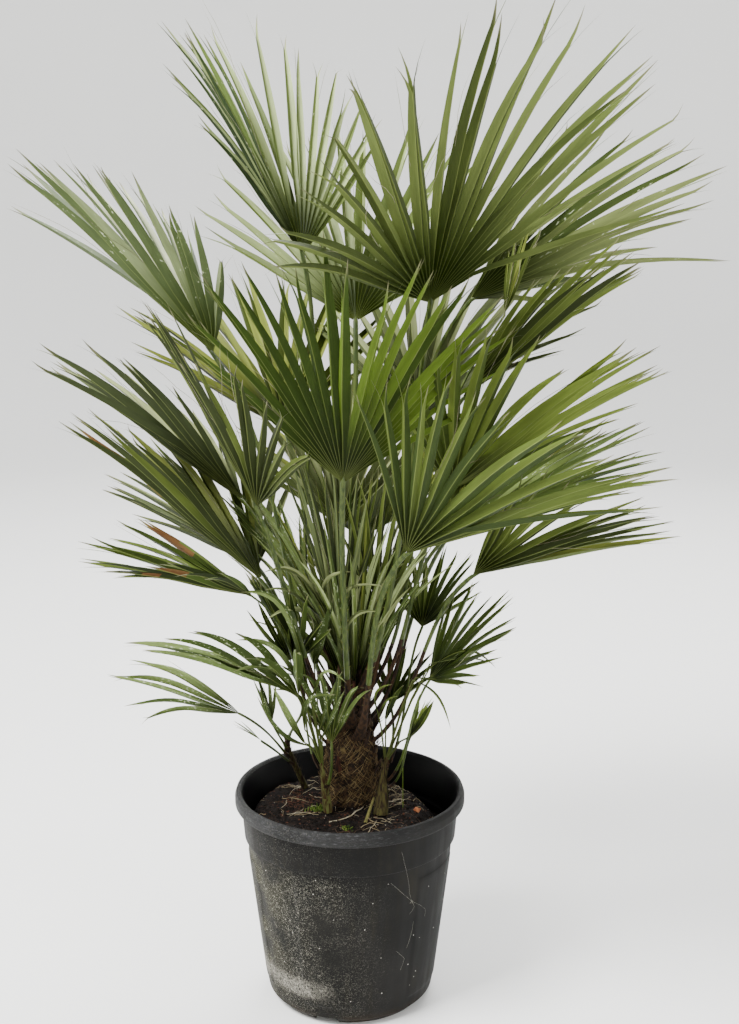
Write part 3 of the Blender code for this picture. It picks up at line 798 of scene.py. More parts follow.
@dataclass
class Fan:
    """One frond grown by the solids' rule, carried to its pleats, split tips and threads.

    stations are shares of a leaflet's length, closer together where it narrows.
    """

    frond: Frond
    stem: Stem
    rank: float
    web: float = 0.44
    shrink: float = 0.28
    thickness: float = 0.7 * MM
    pleat: float = 44.0
    flat: float = 0.35
    stray: float = 0.07
    joined: float = 0.33
    narrow_from: float = 0.40
    thorn: float = 0.9 * MM
    thread: float = 0.35 * MM
    stations: tuple[float, ...] = (0.015, 0.10, 0.20, 0.28, 0.35, 0.42, 0.50, 0.58, 0.66, 0.74, 0.81,
                                   0.87, 0.92, 0.965)

    def __post_init__(self) -> None:
        """Works out the fan's own directions and the unevenness of its leaflets."""
        frond = self.frond
        self.hub = Vector(frond.hub) + Vector(frond.nudge)
        azimuth, pitch = (math.radians(v) for v in frond.aim)
        self.ahead = polar(math.cos(pitch), azimuth, math.sin(pitch))
        self.upper = Matrix.Rotation(math.radians(frond.roll), 3, self.ahead) @ square_to(UP, self.ahead)
        self.side = self.upper.cross(self.ahead)
        self.big = frond.length > 0.3
        self.hub_size = (0.0090, 0.0060) if self.big else (0.0050, 0.0036)
        self.base_size = (0.0125, 0.0070) if self.big else (0.0062, 0.0042)
        chance = Random(frond.node)
        self.jitter = [(chance.uniform(-1, 1), chance.uniform(-1, 1), chance.uniform(-1, 1))
                       for _ in range(frond.count)]
        self.chance = Random(frond.node + " fine")

    def direction(self, theta: float) -> tuple[Vector, Vector, Vector]:
        """Opens the fan to an angle.

        Args:
            theta: angle from the aim, positive to the left.

        Returns:
            The direction there, the way across it, and its upper face.
        """
        fold, cup = math.radians(self.frond.fold), math.radians(self.frond.cup)
        hand = 0.0 if abs(theta) < 1e-6 else math.copysign(1.0, theta)
        out = self.side * hand * math.cos(fold) + self.upper * math.sin(fold)
        c, s = math.cos(abs(theta)), math.sin(abs(theta))
        way = self.ahead * c + out * s
        across = (out * c - self.ahead * s) * hand if hand else self.side
        way = way * math.cos(cup) + square_to(self.upper, way) * math.sin(cup)
        face = way.cross(across).normalized()
        return way, face.cross(way), face

    def reach(self, theta: float) -> float:
        """Length of a leaflet at an angle: the outer ones are shorter."""
        half = math.radians(self.frond.span) / 2
        return self.frond.length * (1.0 - self.shrink * abs(theta / half) ** 2.2)

    def edge(self, i: int) -> float:
        """Angle of boundary i between leaflets."""
        return math.radians(self.frond.span) * (i / self.frond.count - 0.5)

    def stalk(self, t: float) -> tuple[Vector, Vector, Vector, Vector]:
        """Follows the petiole from its stem to the hub.

        Args:
            t: share of its length.

        Returns:
            Its middle there, its direction, the way across it and the way over it.
        """
        frond, stem = self.frond, self.stem
        height = stem.low + (stem.high - stem.low) * self.rank
        centre, radius = stem.centre(height), stem.radius(height)
        to_hub = self.hub - centre
        azimuth = math.atan2(to_hub.y, to_hub.x) + math.radians(frond.shift)
        out = polar(1.0, azimuth)
        level = UP.cross(out)
        start = centre + out * radius
        run = (self.hub - start).length
        steep = (UP * (0.75 + 0.9 * self.rank) + out).normalized()
        arrive = ((self.hub - start).normalized() * 0.6 + self.ahead * 0.7).normalized()
        sideways = level * (frond.bow * run)
        controls = (start, start + steep * (run * 0.32) + sideways,
                    self.hub - arrive * (run * 0.34) + sideways, self.hub)
        ahead = (bezier(controls, min(t + 0.02, 1.0)) - bezier(controls, max(t - 0.02, 0.0)))
        ahead.normalize()
        across = square_to(level.lerp(self.side, t * t * (3 - 2 * t)), ahead)
        return bezier(controls, t), ahead, across, ahead.cross(across)

    def grow_stalk(self, net: Net) -> None:
        """Adds the petiole, flat above and round below, with the thorns along its margins.

        Args:
            net: the piece that gathers petioles; its finishes are green, base and thorn.
        """
        steps, sides = (26, 8) if self.big else (14, 6)
        rows, mids = [], []
        brown_top = self.chance.uniform(0.575, 0.635)
        for j in range(steps + 1):
            t = j / steps
            spot, ahead, across, over = self.stalk(t)
            taper = min(1.0, 2.2 * t)
            wide = self.base_size[0] + (self.hub_size[0] - self.base_size[0]) * taper
            deep = self.base_size[1] + (self.hub_size[1] - self.base_size[1]) * taper
            sheath = max(0.0, 1.0 - t / 0.20)
            wide *= 1.0 + 1.1 * sheath
            row = []
            for turn in turns(sides):
                lift = math.sin(turn) * (self.flat if math.sin(turn) > 0.0 else 1.0)
                row.append(spot + across * (math.cos(turn) * wide / 2) + over * (lift * deep * 0.8))
            rows.append(net.ring(row))
            mids.append((spot, ahead, across, wide))
        for j, pair in enumerate(zip(rows, rows[1:])):
            husk = self.stem.node == TRUNK and mids[j][0].z < brown_top
            net.skin(pair, 1 if husk or (j + 0.5) / steps < 0.12 else 0)
        net.skin([rows[-1], [net.point(self.hub + self.ahead * (0.04 * self.frond.length))]])
        if not self.big:
            return
        for j in range(5, steps - 1):
            spot, ahead, across, wide = mids[j]
            for hand in (-1.0, 1.0):
                if self.chance.random() < 0.35:
                    continue
                root = spot + ahead * self.chance.uniform(-4, 4) * MM + across * (hand * wide * 0.46)
                tip = root + across * (hand * self.chance.uniform(2.5, 5.0) * MM)
                tip += ahead * (self.chance.uniform(2.0, 5.0) * MM)
                net.tube([root, root.lerp(tip, 0.5), tip], [self.thorn, 0.5 * MM, 0.0], 3, 2)

    def grow_leaflets(self, net: Net) -> None:
        """Adds every leaflet: V-folded, joined as far as its sinuses, then free with a split tip.

        Args:
            net: the frond's own piece; its finishes are those that Crown.dress gives it.
        """
        count, chance = self.frond.count, self.chance
        sinuses = [self.frond.split * chance.uniform(0.58, 1.22) for _ in range(count + 1)]
        sinuses[0] = sinuses[-1] = self.frond.split * 0.7
        for k in range(count):
            self.leaflet(net, k, sinuses[k], sinuses[k + 1])

    def leaflet(self, net: Net, k: int, right_split: float, left_split: float) -> None:
        """Adds leaflet k.

        Args:
            net: the frond's own piece.
            k: the leaflet's number, from the right.
            right_split: share of its length where it parts from leaflet k - 1.
            left_split: share of its length where it parts from leaflet k + 1.
        """
        chance = self.chance
        theta = (self.edge(k) + self.edge(k + 1)) / 2
        way, across, face = self.direction(theta)
        wag, grow, sink = self.jitter[k]
        full = self.reach(theta) * (1.0 + 0.05 * grow) * chance.uniform(0.93, 1.02)
        aside = chance.random() < self.stray
        lift = math.tan(math.radians(2.0 * wag + chance.uniform(-2.5, 2.5) - (9.0 if aside else 0.0)))
        swing = math.tan(math.radians(chance.gauss(0.0, 7.0 if aside else 2.0)))
        twist = math.radians(chance.gauss(0.0, 38.0))
        sway = chance.gauss(0.0, 0.028) * full
        half = math.tan(math.radians(self.frond.span) / self.frond.count / 2)
        early = min(right_split, left_split)
        fork = chance.uniform(0.74, 0.95)
        spread = chance.uniform(0.004, 0.016) * full / 0.44
        # Each half takes the painted-shade or the painted-light copy of its green at random.
        painted_shade_or_light = (chance.choice((0, 1)), chance.choice((0, 1)))
        if sink > -0.6:
            # Most leaflets take the painted-light copy on the right half and the painted-shade copy on the
            # left, painted light and shade that bring out the V.
            painted_shade_or_light = (1, 0) if grow > -0.7 else (0, 0)
        brown = chance.random() < self.frond.brown
        patch = (chance.uniform(0.45, 0.7), chance.uniform(0.75, 1.0))
        pleat = math.tan(math.radians(self.pleat + chance.uniform(-8.0, 8.0)))
        rows = []
        for s in sorted({*self.stations, round(fork, 3)}) + [1.0]:
            free = max(s - self.web, 0.0)
            bend = (free / (1.0 - self.web)) ** 2 * full
            loose = max(s - early, 0.0)
            spot = self.hub + way * (full * s)
            spot += (face * lift + across * swing) * (full * loose)
            spot += across * (sway * loose * loose)
            spot -= UP * (bend * self.frond.droop * (1.0 + 0.5 * sink))
            spot -= face * (bend * self.frond.curl)
            turn = twist * loose * loose
            over = face * math.cos(turn) + across * math.sin(turn)
            side = across * math.cos(turn) - face * math.sin(turn)
            taper = 1.0 - max((s - self.narrow_from) / (1.0 - self.narrow_from), 0.0) ** self.frond.blunt
            swell = 1.0 + 0.12 * clamped((s - early) / 0.15)
            wide = [min(s, max(split, self.joined)) * half * full * self.frond.broad * taper * swell
                    * (1.0 if s <= split else 1.0 - 0.5 * max(self.joined - split, 0.0))
                    for split in (left_split, right_split)]
            part = spread * max((s - fork) / (1.0 - fork), 0.0) ** 1.4
            mean = (wide[0] + wide[1]) / 2
            dip = over * (mean * pleat)
            thick = over * (self.thickness * min(1.0, mean / (2.5 * MM)))
            dying = brown and patch[0] < s < patch[1]
            rows.append((spot, side, wide, part, dip, thick, s, (4, 4) if dying else painted_shade_or_light))
        for hand in (1, -1):
            net.half_blade(rows, hand, 2.0 * k)

    def grow_threads(self, net: Net) -> None:
        """Adds the dry threads that hang from the sinuses between leaflets.

        Args:
            net: the piece that gathers threads.
        """
        chance = self.chance
        for i in range(1, self.frond.count):
            if chance.random() < 0.5:
                continue
            way, across, face = self.direction(self.edge(i))
            full = self.reach(self.edge(i))
            spot = self.hub + way * (full * self.frond.split * chance.uniform(0.9, 1.3))
            heading = way + across * chance.uniform(-0.12, 0.12) + face * chance.uniform(-0.12, 0.12)
            step = full * chance.uniform(0.05, 0.13)
            points = [spot]
            for _ in range(5):
                heading += Vector([chance.uniform(-0.13, 0.13) for _ in range(3)]) - UP * 0.03
                points.append(points[-1] + heading.normalized() * step)
            net.tube(points, [self.thread] * 5 + [0.0], 3, chance.choice((0, 0, 1)))


@dataclass
class Crown:
    """All the fronds, their petioles and their threads."""

    fans: list[Fan] = field(default_factory=list)

    def __post_init__(self) -> None:
        """Grows each frond in its place on its stem: the steeper ones stand higher up it."""
        for stem in STEMS:
            mine = FRONDS[stem.node]
            order = sorted(mine, key=lambda frond, stem=stem: stem.steepness(frond.hub))
            self.fans += [Fan(frond, stem, order.index(frond) / (len(order) - 1)) for frond in mine]

    def dress(self, tone: Tone) -> list[Material]:
        """Finishes of one tone.

        Args:
            tone: the green.

        Returns:
            A painted-shade copy and a painted-light copy of the upper face, the same two of the under face,
            and a brown for dying patches.
        """
        upper, upper_drift, under, under_drift, deep = tone.value
        word = tone.name.capitalize()
        wool = {Tone.YOUNG: 0.7, Tone.PALE: 0.3, Tone.BLUISH: 0.3, Tone.SILVER: 0.3}.get(tone, 0.0)
        blush = 0.5 if tone is Tone.OLIVE else 0.0
        # Each face gets a darkened copy for painted shade and a lightened copy for painted light.
        faces = (("upper face", shaded(upper, PAINTED_SHADE_GAIN), upper, 0.42, wool, blush),
                 ("upper face painted light", upper_drift, shaded(upper_drift, PAINTED_LIGHT_GAIN), 0.42, wool, blush / 2),
                 ("under face", shaded(under, PAINTED_SHADE_GAIN), under, 0.55, wool * 0.6, 0.0),
                 ("under face painted light", under_drift, shaded(under_drift, PAINTED_LIGHT_GAIN), 0.55, wool * 0.6, 0.0))
        made = [LeafFinish(f"{word} leaf {face}", colour, drift, deep, roughness=rough, wool=down,
                           blush=red).make() for face, colour, drift, rough, down, red in faces]
        return made + [LeafFinish(f"{word} leaf dying patch", "4a3018", "5d4427", "2a1c0c",
                                  roughness=0.7).make()]

    def build(self) -> None:
        """Makes the leaflets of each frond, and the joined petioles and threads."""
        finishes = {tone: self.dress(tone) for tone in Tone}
        stalks, threads = Net(), Net()
        for fan in self.fans:
            blade = Net()
            fan.grow_leaflets(blade)
            slot = "sucker_leaf" if fan.frond.tone is Tone.YOUNG else "leaf"
            blade.piece(fan.frond.node + "_leaflets", finishes[fan.frond.tone], slot,
                        (fan.frond.node,))
            fan.grow_stalk(stalks)
            fan.grow_threads(threads)
        stalks.piece("Petioles", fibres(("Petiole rind", "28360a", "434f1e", 3.0 * MM, 0.5, 14.0),
                                        ("Petiole sheath", "170e07", "372514", 2.4 * MM, 0.9, 9.0),
                                        ("Petiole thorn", "6b6a35", "4d4c22")), "leaf")
        threads.piece("Leaf_threads", fibres(("Pale leaf thread", "8f8c76", "767254"),
                                             ("Dry leaf thread", "4d4736", "645d48")), "leaf")


@dataclass(frozen=True)
class Arc:
    """A young leaflet that arches on its own: where it starts, bends and ends, and its width, in mm."""

    start: tuple[int, int, int]
    bend: tuple[int, int, int]
    tip: tuple[int, int, int]
    wide: int

    def spots(self) -> list[Vector]:
        """Its start, bend and tip in metres."""
        return [Vector([value * MM for value in spot]) for spot in (self.start, self.bend, self.tip)]


ARCS = (
    (FRONT, Tone.YOUNG, (
        Arc((-76, -60, 481), (-102, -95, 541), (-123, -125, 602), 12),
        Arc((-73, -55, 474), (-120, -85, 498), (-150, -115, 583), 9),
        Arc((-53, -60, 494), (-31, -85, 565), (-11, -95, 619), 9),
        Arc((-46, -55, 487), (-26, -90, 541), (-6, -100, 588), 8),
        Arc((-74, -70, 507), (-79, -120, 586), (-20, -130, 590), 9),
        Arc((-62, -70, 560), (-43, -120, 646), (-2, -130, 609), 8),
        Arc((-59, -50, 616), (-46, -60, 666), (-24, -70, 740), 22),
        Arc((-70, -75, 589), (-93, -120, 764), (-171, -150, 768), 12),
        Arc((-81, -75, 579), (-107, -120, 680), (-180, -140, 686), 10),
        Arc((-88, -75, 575), (-127, -120, 646), (-187, -140, 632), 10),
    )),
    (TRUNK, Tone.GREY, (
        Arc((-32, -40, 690), (-77, -110, 811), (-136, -140, 797), 8),
        Arc((-38, -40, 704), (-49, -110, 786), (7, -140, 799), 8),
        Arc((-45, -40, 693), (-93, -120, 772), (-133, -140, 769), 9),
        Arc((-23, -40, 704), (-5, -110, 777), (67, -130, 770), 7),
        Arc((-52, -40, 681), (-85, -100, 741), (-132, -130, 716), 8),
        Arc((-15, -40, 655), (6, -90, 722), (51, -110, 724), 7),
    )),
    (RIGHT, Tone.SHADY, (
        Arc((106, -80, 598), (150, -110, 591), (168, -120, 526), 5),
        Arc((111, -80, 602), (165, -120, 612), (219, -140, 607), 5),
        Arc((134, -80, 619), (194, -110, 677), (241, -120, 631), 5),
        Arc((134, -80, 626), (185, -110, 651), (238, -120, 639), 5),
        Arc((49, -50, 528), (35, -70, 577), (73, -80, 591), 5),
        Arc((50, -50, 524), (59, -70, 560), (82, -80, 570), 5),
        Arc((102, -30, 479), (112, -40, 520), (119, -50, 563), 13),
        Arc((104, -30, 479), (127, -40, 513), (143, -50, 552), 12),
        Arc((62, -40, 515), (72, -50, 552), (92, -60, 583), 13),
    )),
    (FRONT, Tone.SHADY, (
        Arc((-99, -40, 620), (-140, -70, 671), (-167, -90, 723), 9),
        Arc((-99, -40, 620), (-131, -60, 678), (-150, -80, 736), 10),
        Arc((-99, -40, 620), (-118, -60, 682), (-130, -80, 741), 10),
        Arc((-99, -40, 620), (-104, -60, 675), (-111, -80, 724), 10),
        Arc((-99, -40, 620), (-92, -50, 665), (-92, -60, 708), 9),
        Arc((-99, -40, 620), (-85, -50, 648), (-81, -60, 678), 9),
    )),
)


@dataclass
class Thicket:
    """The middle of the crown: young leaves that stand close on the trunk's top, and arching ones."""

    young: int = 110
    rows: int = 10
    sprout: float = 0.93
    tones: tuple[Tone, ...] = (Tone.YOUNG, Tone.GREY, Tone.PALE, Tone.DEEP, Tone.SHADY)

    def build(self, crown: Crown) -> None:
        """Makes the young leaves, one piece for each tone.

        Args:
            crown: the crown, which gives the finishes.
        """
        nets = {tone: Net() for tone in self.tones}
        chance = Random("thicket")
        stems = {stem.node: stem for stem in STEMS}
        arcs = [(stem, tone, arc) for stem, tone, group in ARCS for arc in group]
        for k, (stem, tone, arc) in enumerate(arcs):
            start, bend, tip = arc.spots()
            root = stems[stem].centre(self.sprout)
            nets[tone].tube([root, root.lerp(start, 0.6) + UP * 0.01, start, start.lerp(bend, 0.3)],
                            [1.6 * MM, 1.4 * MM, 1.2 * MM, 0.5 * MM], 5, 2)
            self.blade(nets[tone], (start, start.lerp(bend, 0.85), bend.lerp(tip, 0.25) + UP * 0.004, tip),
                       arc.wide * MM / 2, k, chance)
        trunk = STEMS[0]
        for k in range(self.young):
            way = polar(1.0, chance.uniform(0.0, math.tau))
            h = chance.uniform(0.80, 1.0)
            root = trunk.centre(h) + way * (trunk.radius(h) * 0.8)
            lean = chance.uniform(0.10, 0.55)
            length = chance.uniform(0.16, 0.36)
            ahead = (UP + way * lean).normalized()
            aside = Vector([chance.gauss(0.0, 0.03) for _ in range(3)])
            spots = (root, root + ahead * (length * 0.45), root + ahead * (length * 0.8) + aside * 0.6,
                     root + ahead * length + aside + way * (0.12 * length))
            tone = chance.choice(self.tones[:4])
            self.blade(nets[tone], spots, chance.uniform(2.6, 4.6) * MM, k + len(arcs), chance)
        for tone, net in nets.items():
            net.piece(f"Young_leaves_{tone.name.lower()}", crown.dress(tone), "leaf")

    def blade(self, net: Net, spots: tuple[Vector, ...], wide: float, away: int, chance: Random) -> None:
        """Adds one V-folded strap along a cubic.

        Args:
            net: the piece of its tone.
            spots: the four points of its cubic.
            wide: half its width.
            away: whole number that starts its pattern elsewhere.
            chance: the source of its twist.
        """
        rows = []
        turn, twist = chance.uniform(-0.6, 0.6), chance.uniform(-0.7, 0.7)
        # Each half takes the painted-shade or the painted-light copy of its green at random.
        painted_shade_or_light = (chance.choice((0, 1)), chance.choice((0, 1)))
        for j in range(self.rows + 1):
            t = j / self.rows
            spot = bezier(spots, t)
            ahead = (bezier(spots, min(t + 0.05, 1.0)) - bezier(spots, max(t - 0.05, 0.0))).normalized()
            over = square_to(Vector((0.1, -0.8, 0.6)), ahead)
            over = Matrix.Rotation(turn + twist * t, 3, ahead) @ over
            side = over.cross(ahead)
            half = wide * min(0.35 + 2.6 * t, 1.0) * (1.0 - max((t - 0.45) / 0.55, 0.0) ** 2.0)
            rows.append((spot, side, (half, half), 0.0, over * (half * 0.7),
                         over * (0.6 * MM * min(1.0, half / (2.0 * MM))), t, painted_shade_or_light))
        for hand in (1, -1):
            net.half_blade(rows, hand, 2.0 * away)


@dataclass
class Trunk:
    """The main stem: a mat of swirling brown fibre over the stubs of old leaf bases."""

    stem: Stem = STEMS[0]
    around: int = 96
    up: int = 90
    strands: int = 1700
    stubs: int = 46
    golden_angle: float = 137.5
    section: tuple[tuple[float, float], ...] = ((-1, 0), (-0.5, 0.9), (0.5, 0.9), (1, 0), (0, -0.7))

    def surface(self, turn: float, h: float) -> Vector:
        """A point of the fibre mat.

        Args:
            turn: angle round the trunk.
            h: share of its height.

        Returns:
            The point.
        """
        centre, radius = self.stem.centre(h), self.stem.radius(h)
        swirl = polar(1.0, turn - 5.0 * h, h * 5.0)
        rough = noise.noise(swirl * 3.2) * 0.09 + noise.noise(swirl * 11.0) * 0.05
        return centre + polar(1.0, turn) * (radius * (0.93 + rough))

    def build(self) -> None:
        """Makes the mat, its loose strands and the stubs."""
        mat = Net()
        rows = [mat.ring(self.surface(turn, j / self.up) for turn in turns(self.around))
                for j in range(self.up + 1)]
        mat.skin(rows)
        mat.face(tuple(rows[-1]))
        mat.piece("Trunk_fibre_mat", fibres(("Trunk fibre mat", "140d07", "3f2e1d", 3.0 * MM)), "trunk",
                  (TRUNK,))
        self.wrap()
        self.leaf_bases()

    def wrap(self) -> None:
        """Lays loose strands slantwise round the mat."""
        chance = Random("trunk strands")
        net = Net()
        for _ in range(self.strands):
            turn = chance.uniform(0.0, math.tau)
            h = chance.uniform(0.0, 0.93) ** 1.1
            lean = chance.choice((-1.0, 1.0)) * chance.uniform(0.25, 1.3)
            length = chance.uniform(0.25, 0.9)
            loose = chance.uniform(0.3, 3.5) * MM
            points = []
            for j in range(6):
                share = j / 5
                spot = self.surface(turn + lean * length * share, min(h + 0.16 * length * share, 1.0))
                centre = self.stem.centre(h)
                way = Vector((spot.x - centre.x, spot.y - centre.y, 0.0)).normalized()
                points.append(spot + way * (loose * math.sin(math.pi * share) + 0.4 * MM))
            thick = chance.uniform(0.2, 0.6) * MM
            pale = h < 0.5 and chance.random() < 0.5
            net.tube(points, [thick] * 5 + [0.0], 3, 1 if pale else chance.choice((0, 0, 2)))
        net.piece("Trunk_fibres", fibres(("Brown trunk fibre", "362616", "503c23"),
                                         ("Straw trunk fibre", "665434", "7f6d49"),
                                         ("Dark trunk fibre", "0c0805", "1b130c")), "trunk")

    def leaf_bases(self) -> None:
        """Sets the stubs of cut leaf bases in a spiral, shaggier towards the top."""
        chance = Random("trunk stubs")
        net = Net()
        for i in range(self.stubs):
            h = 0.16 + 0.80 * i / self.stubs
            turn = math.radians(self.golden_angle) * i + chance.uniform(-0.2, 0.2)
            root = self.surface(turn, h)
            way = polar(1.0, turn)
            side = UP.cross(way)
            crest = max(h - 0.55, 0.0) / 0.45
            climb = UP * chance.uniform(1.0, 1.9) * (1.0 + crest) + way * chance.uniform(0.35, 0.8)
            climb.normalize()
            length = chance.uniform(16.0, 40.0) * (1.0 + 0.9 * crest) * MM
            wide = chance.uniform(5.0, 8.5) * MM * (1.0 - 0.25 * h)
            deep = chance.uniform(2.0, 3.2) * MM
            rows = []
            for j in range(5):
                share = j / 4
                spot = root - climb * 6.0 * MM + climb * (length * share)
                spread = wide * (1.0 - 0.35 * share)
                rows.append(net.ring(spot + side * (x * spread) + way * (y * deep) for x, y in self.section))
            net.skin(rows, chance.choices((0, 1, 4), (6, 2, 3 + 6 * crest))[0], turned=True)
            net.face(tuple(rows[-1]), 2)
            for _ in range(10 + int(14 * crest)):
                start = root + climb * (length * chance.uniform(0.2, 0.95)) + side * (
                    wide * chance.uniform(-1, 1))
                tip = start + climb * chance.uniform(5, 26) * MM + way * chance.uniform(-3, 9) * MM
                tip += side * chance.uniform(-9, 9) * MM
                bend = start.lerp(tip, 0.5) + side * chance.uniform(-3, 3) * MM
                net.tube([start, bend, tip], [0.4 * MM, 0.35 * MM, 0.0], 3, 3)
        net.piece("Trunk_leaf_bases",
                  fibres(("Old leaf base", "1c130b", "33241a"), ("Straw leaf base", "54452a", "6d5d3a"),
                         ("Cut leaf base", "3b2f1d", "261b10"), ("Leaf base hair", "0f0a06", "2a1e13"),
                         ("Red brown leaf base", "1f100a", "45281a", 2.0 * MM, 0.85, 8.0)), "trunk")


@dataclass
class Suckers:
    """The three young side stems, each a bundle of overlapping leaf sheaths with hairy margins."""

    straps: int = 13
    hairs: int = 5
    section: tuple[tuple[float, float], ...] = ((-1.0, 0.0), (-0.5, 0.5), (0.0, 0.8), (0.5, 0.5), (1.0, 0.0),
                                                (0.0, -0.9))

    def strap(self, net: Net, stem: Stem, chance: Random, low: float, slot: int) -> None:
        """Adds one sheath: it hugs the stem, then its tip stands free.

        Args:
            net: the stem's piece.
            stem: the stem it hugs.
            chance: the source of its unevenness.
            low: share of the stem's height where it starts.
            slot: number of its finish.
        """
        turn, half = chance.uniform(0.0, math.tau), chance.uniform(0.7, 1.3)
        high = min(low + chance.uniform(0.35, 0.60), 1.12)
        lean, drift = chance.uniform(0.5, 5.0) * MM, chance.uniform(-0.5, 0.5)
        rows = []
        for j in range(8):
            share = j / 7
            h = low + (high - low) * share
            free = max(share - 0.6, 0.0) / 0.4
            radius = stem.radius(h) * (0.90 + 0.08 * share) * (1.0 - 0.42 * h) + lean * free * free
            span = half * (1.0 - 0.75 * share ** 2)
            rows.append(net.ring(stem.centre(h) + polar(1.0, turn + drift * share + x * span)
                                 * (radius + out * MM) for x, out in self.section))
        net.skin(rows, slot)
        net.face(tuple(rows[-1]), slot)
        for _ in range(self.hairs):
            share = chance.uniform(0.4, 1.0)
            h = low + (high - low) * share
            way = polar(1.0, turn + chance.uniform(-1.0, 1.0))
            start = stem.centre(h) + way * stem.radius(h)
            tip = start + UP * chance.uniform(3, 12) * MM + way * chance.uniform(1, 6) * MM
            net.tube([start - UP * 3 * MM, start, tip], [0.45 * MM, 0.35 * MM, 0.0], 3, 2)

    def build(self) -> None:
        """Makes each sucker's stem."""
        finishes = {LEFT: ("24150d", "45421f"), FRONT: ("36200f", "5b5f30"), RIGHT: ("22140a", "474320")}
        for stem in STEMS[1:]:
            chance = Random(stem.node)
            net = Net()
            net.tube([stem.centre(h / 6) for h in range(7)],
                     [stem.radius(h / 6) * (0.88 - 0.08 * h) for h in range(6)] + [0.0], 12, 0)
            for i in range(self.straps):
                low = 0.62 * i / self.straps
                self.strap(net, stem, chance, low, 0 if chance.random() < 1.0 - 2.4 * low else 1)
            first, second = finishes[stem.node]
            net.piece(stem.node + "_sheaths",
                      fibres((stem.node + " sheath", first, second, 1.6 * MM, 0.85, 9.0),
                             (stem.node + " sheath light", second, first, 1.6 * MM, 0.85, 9.0),
                             (stem.node + " hair", "2a1f13", "5a4a30")), "sucker_base", (stem.node,))


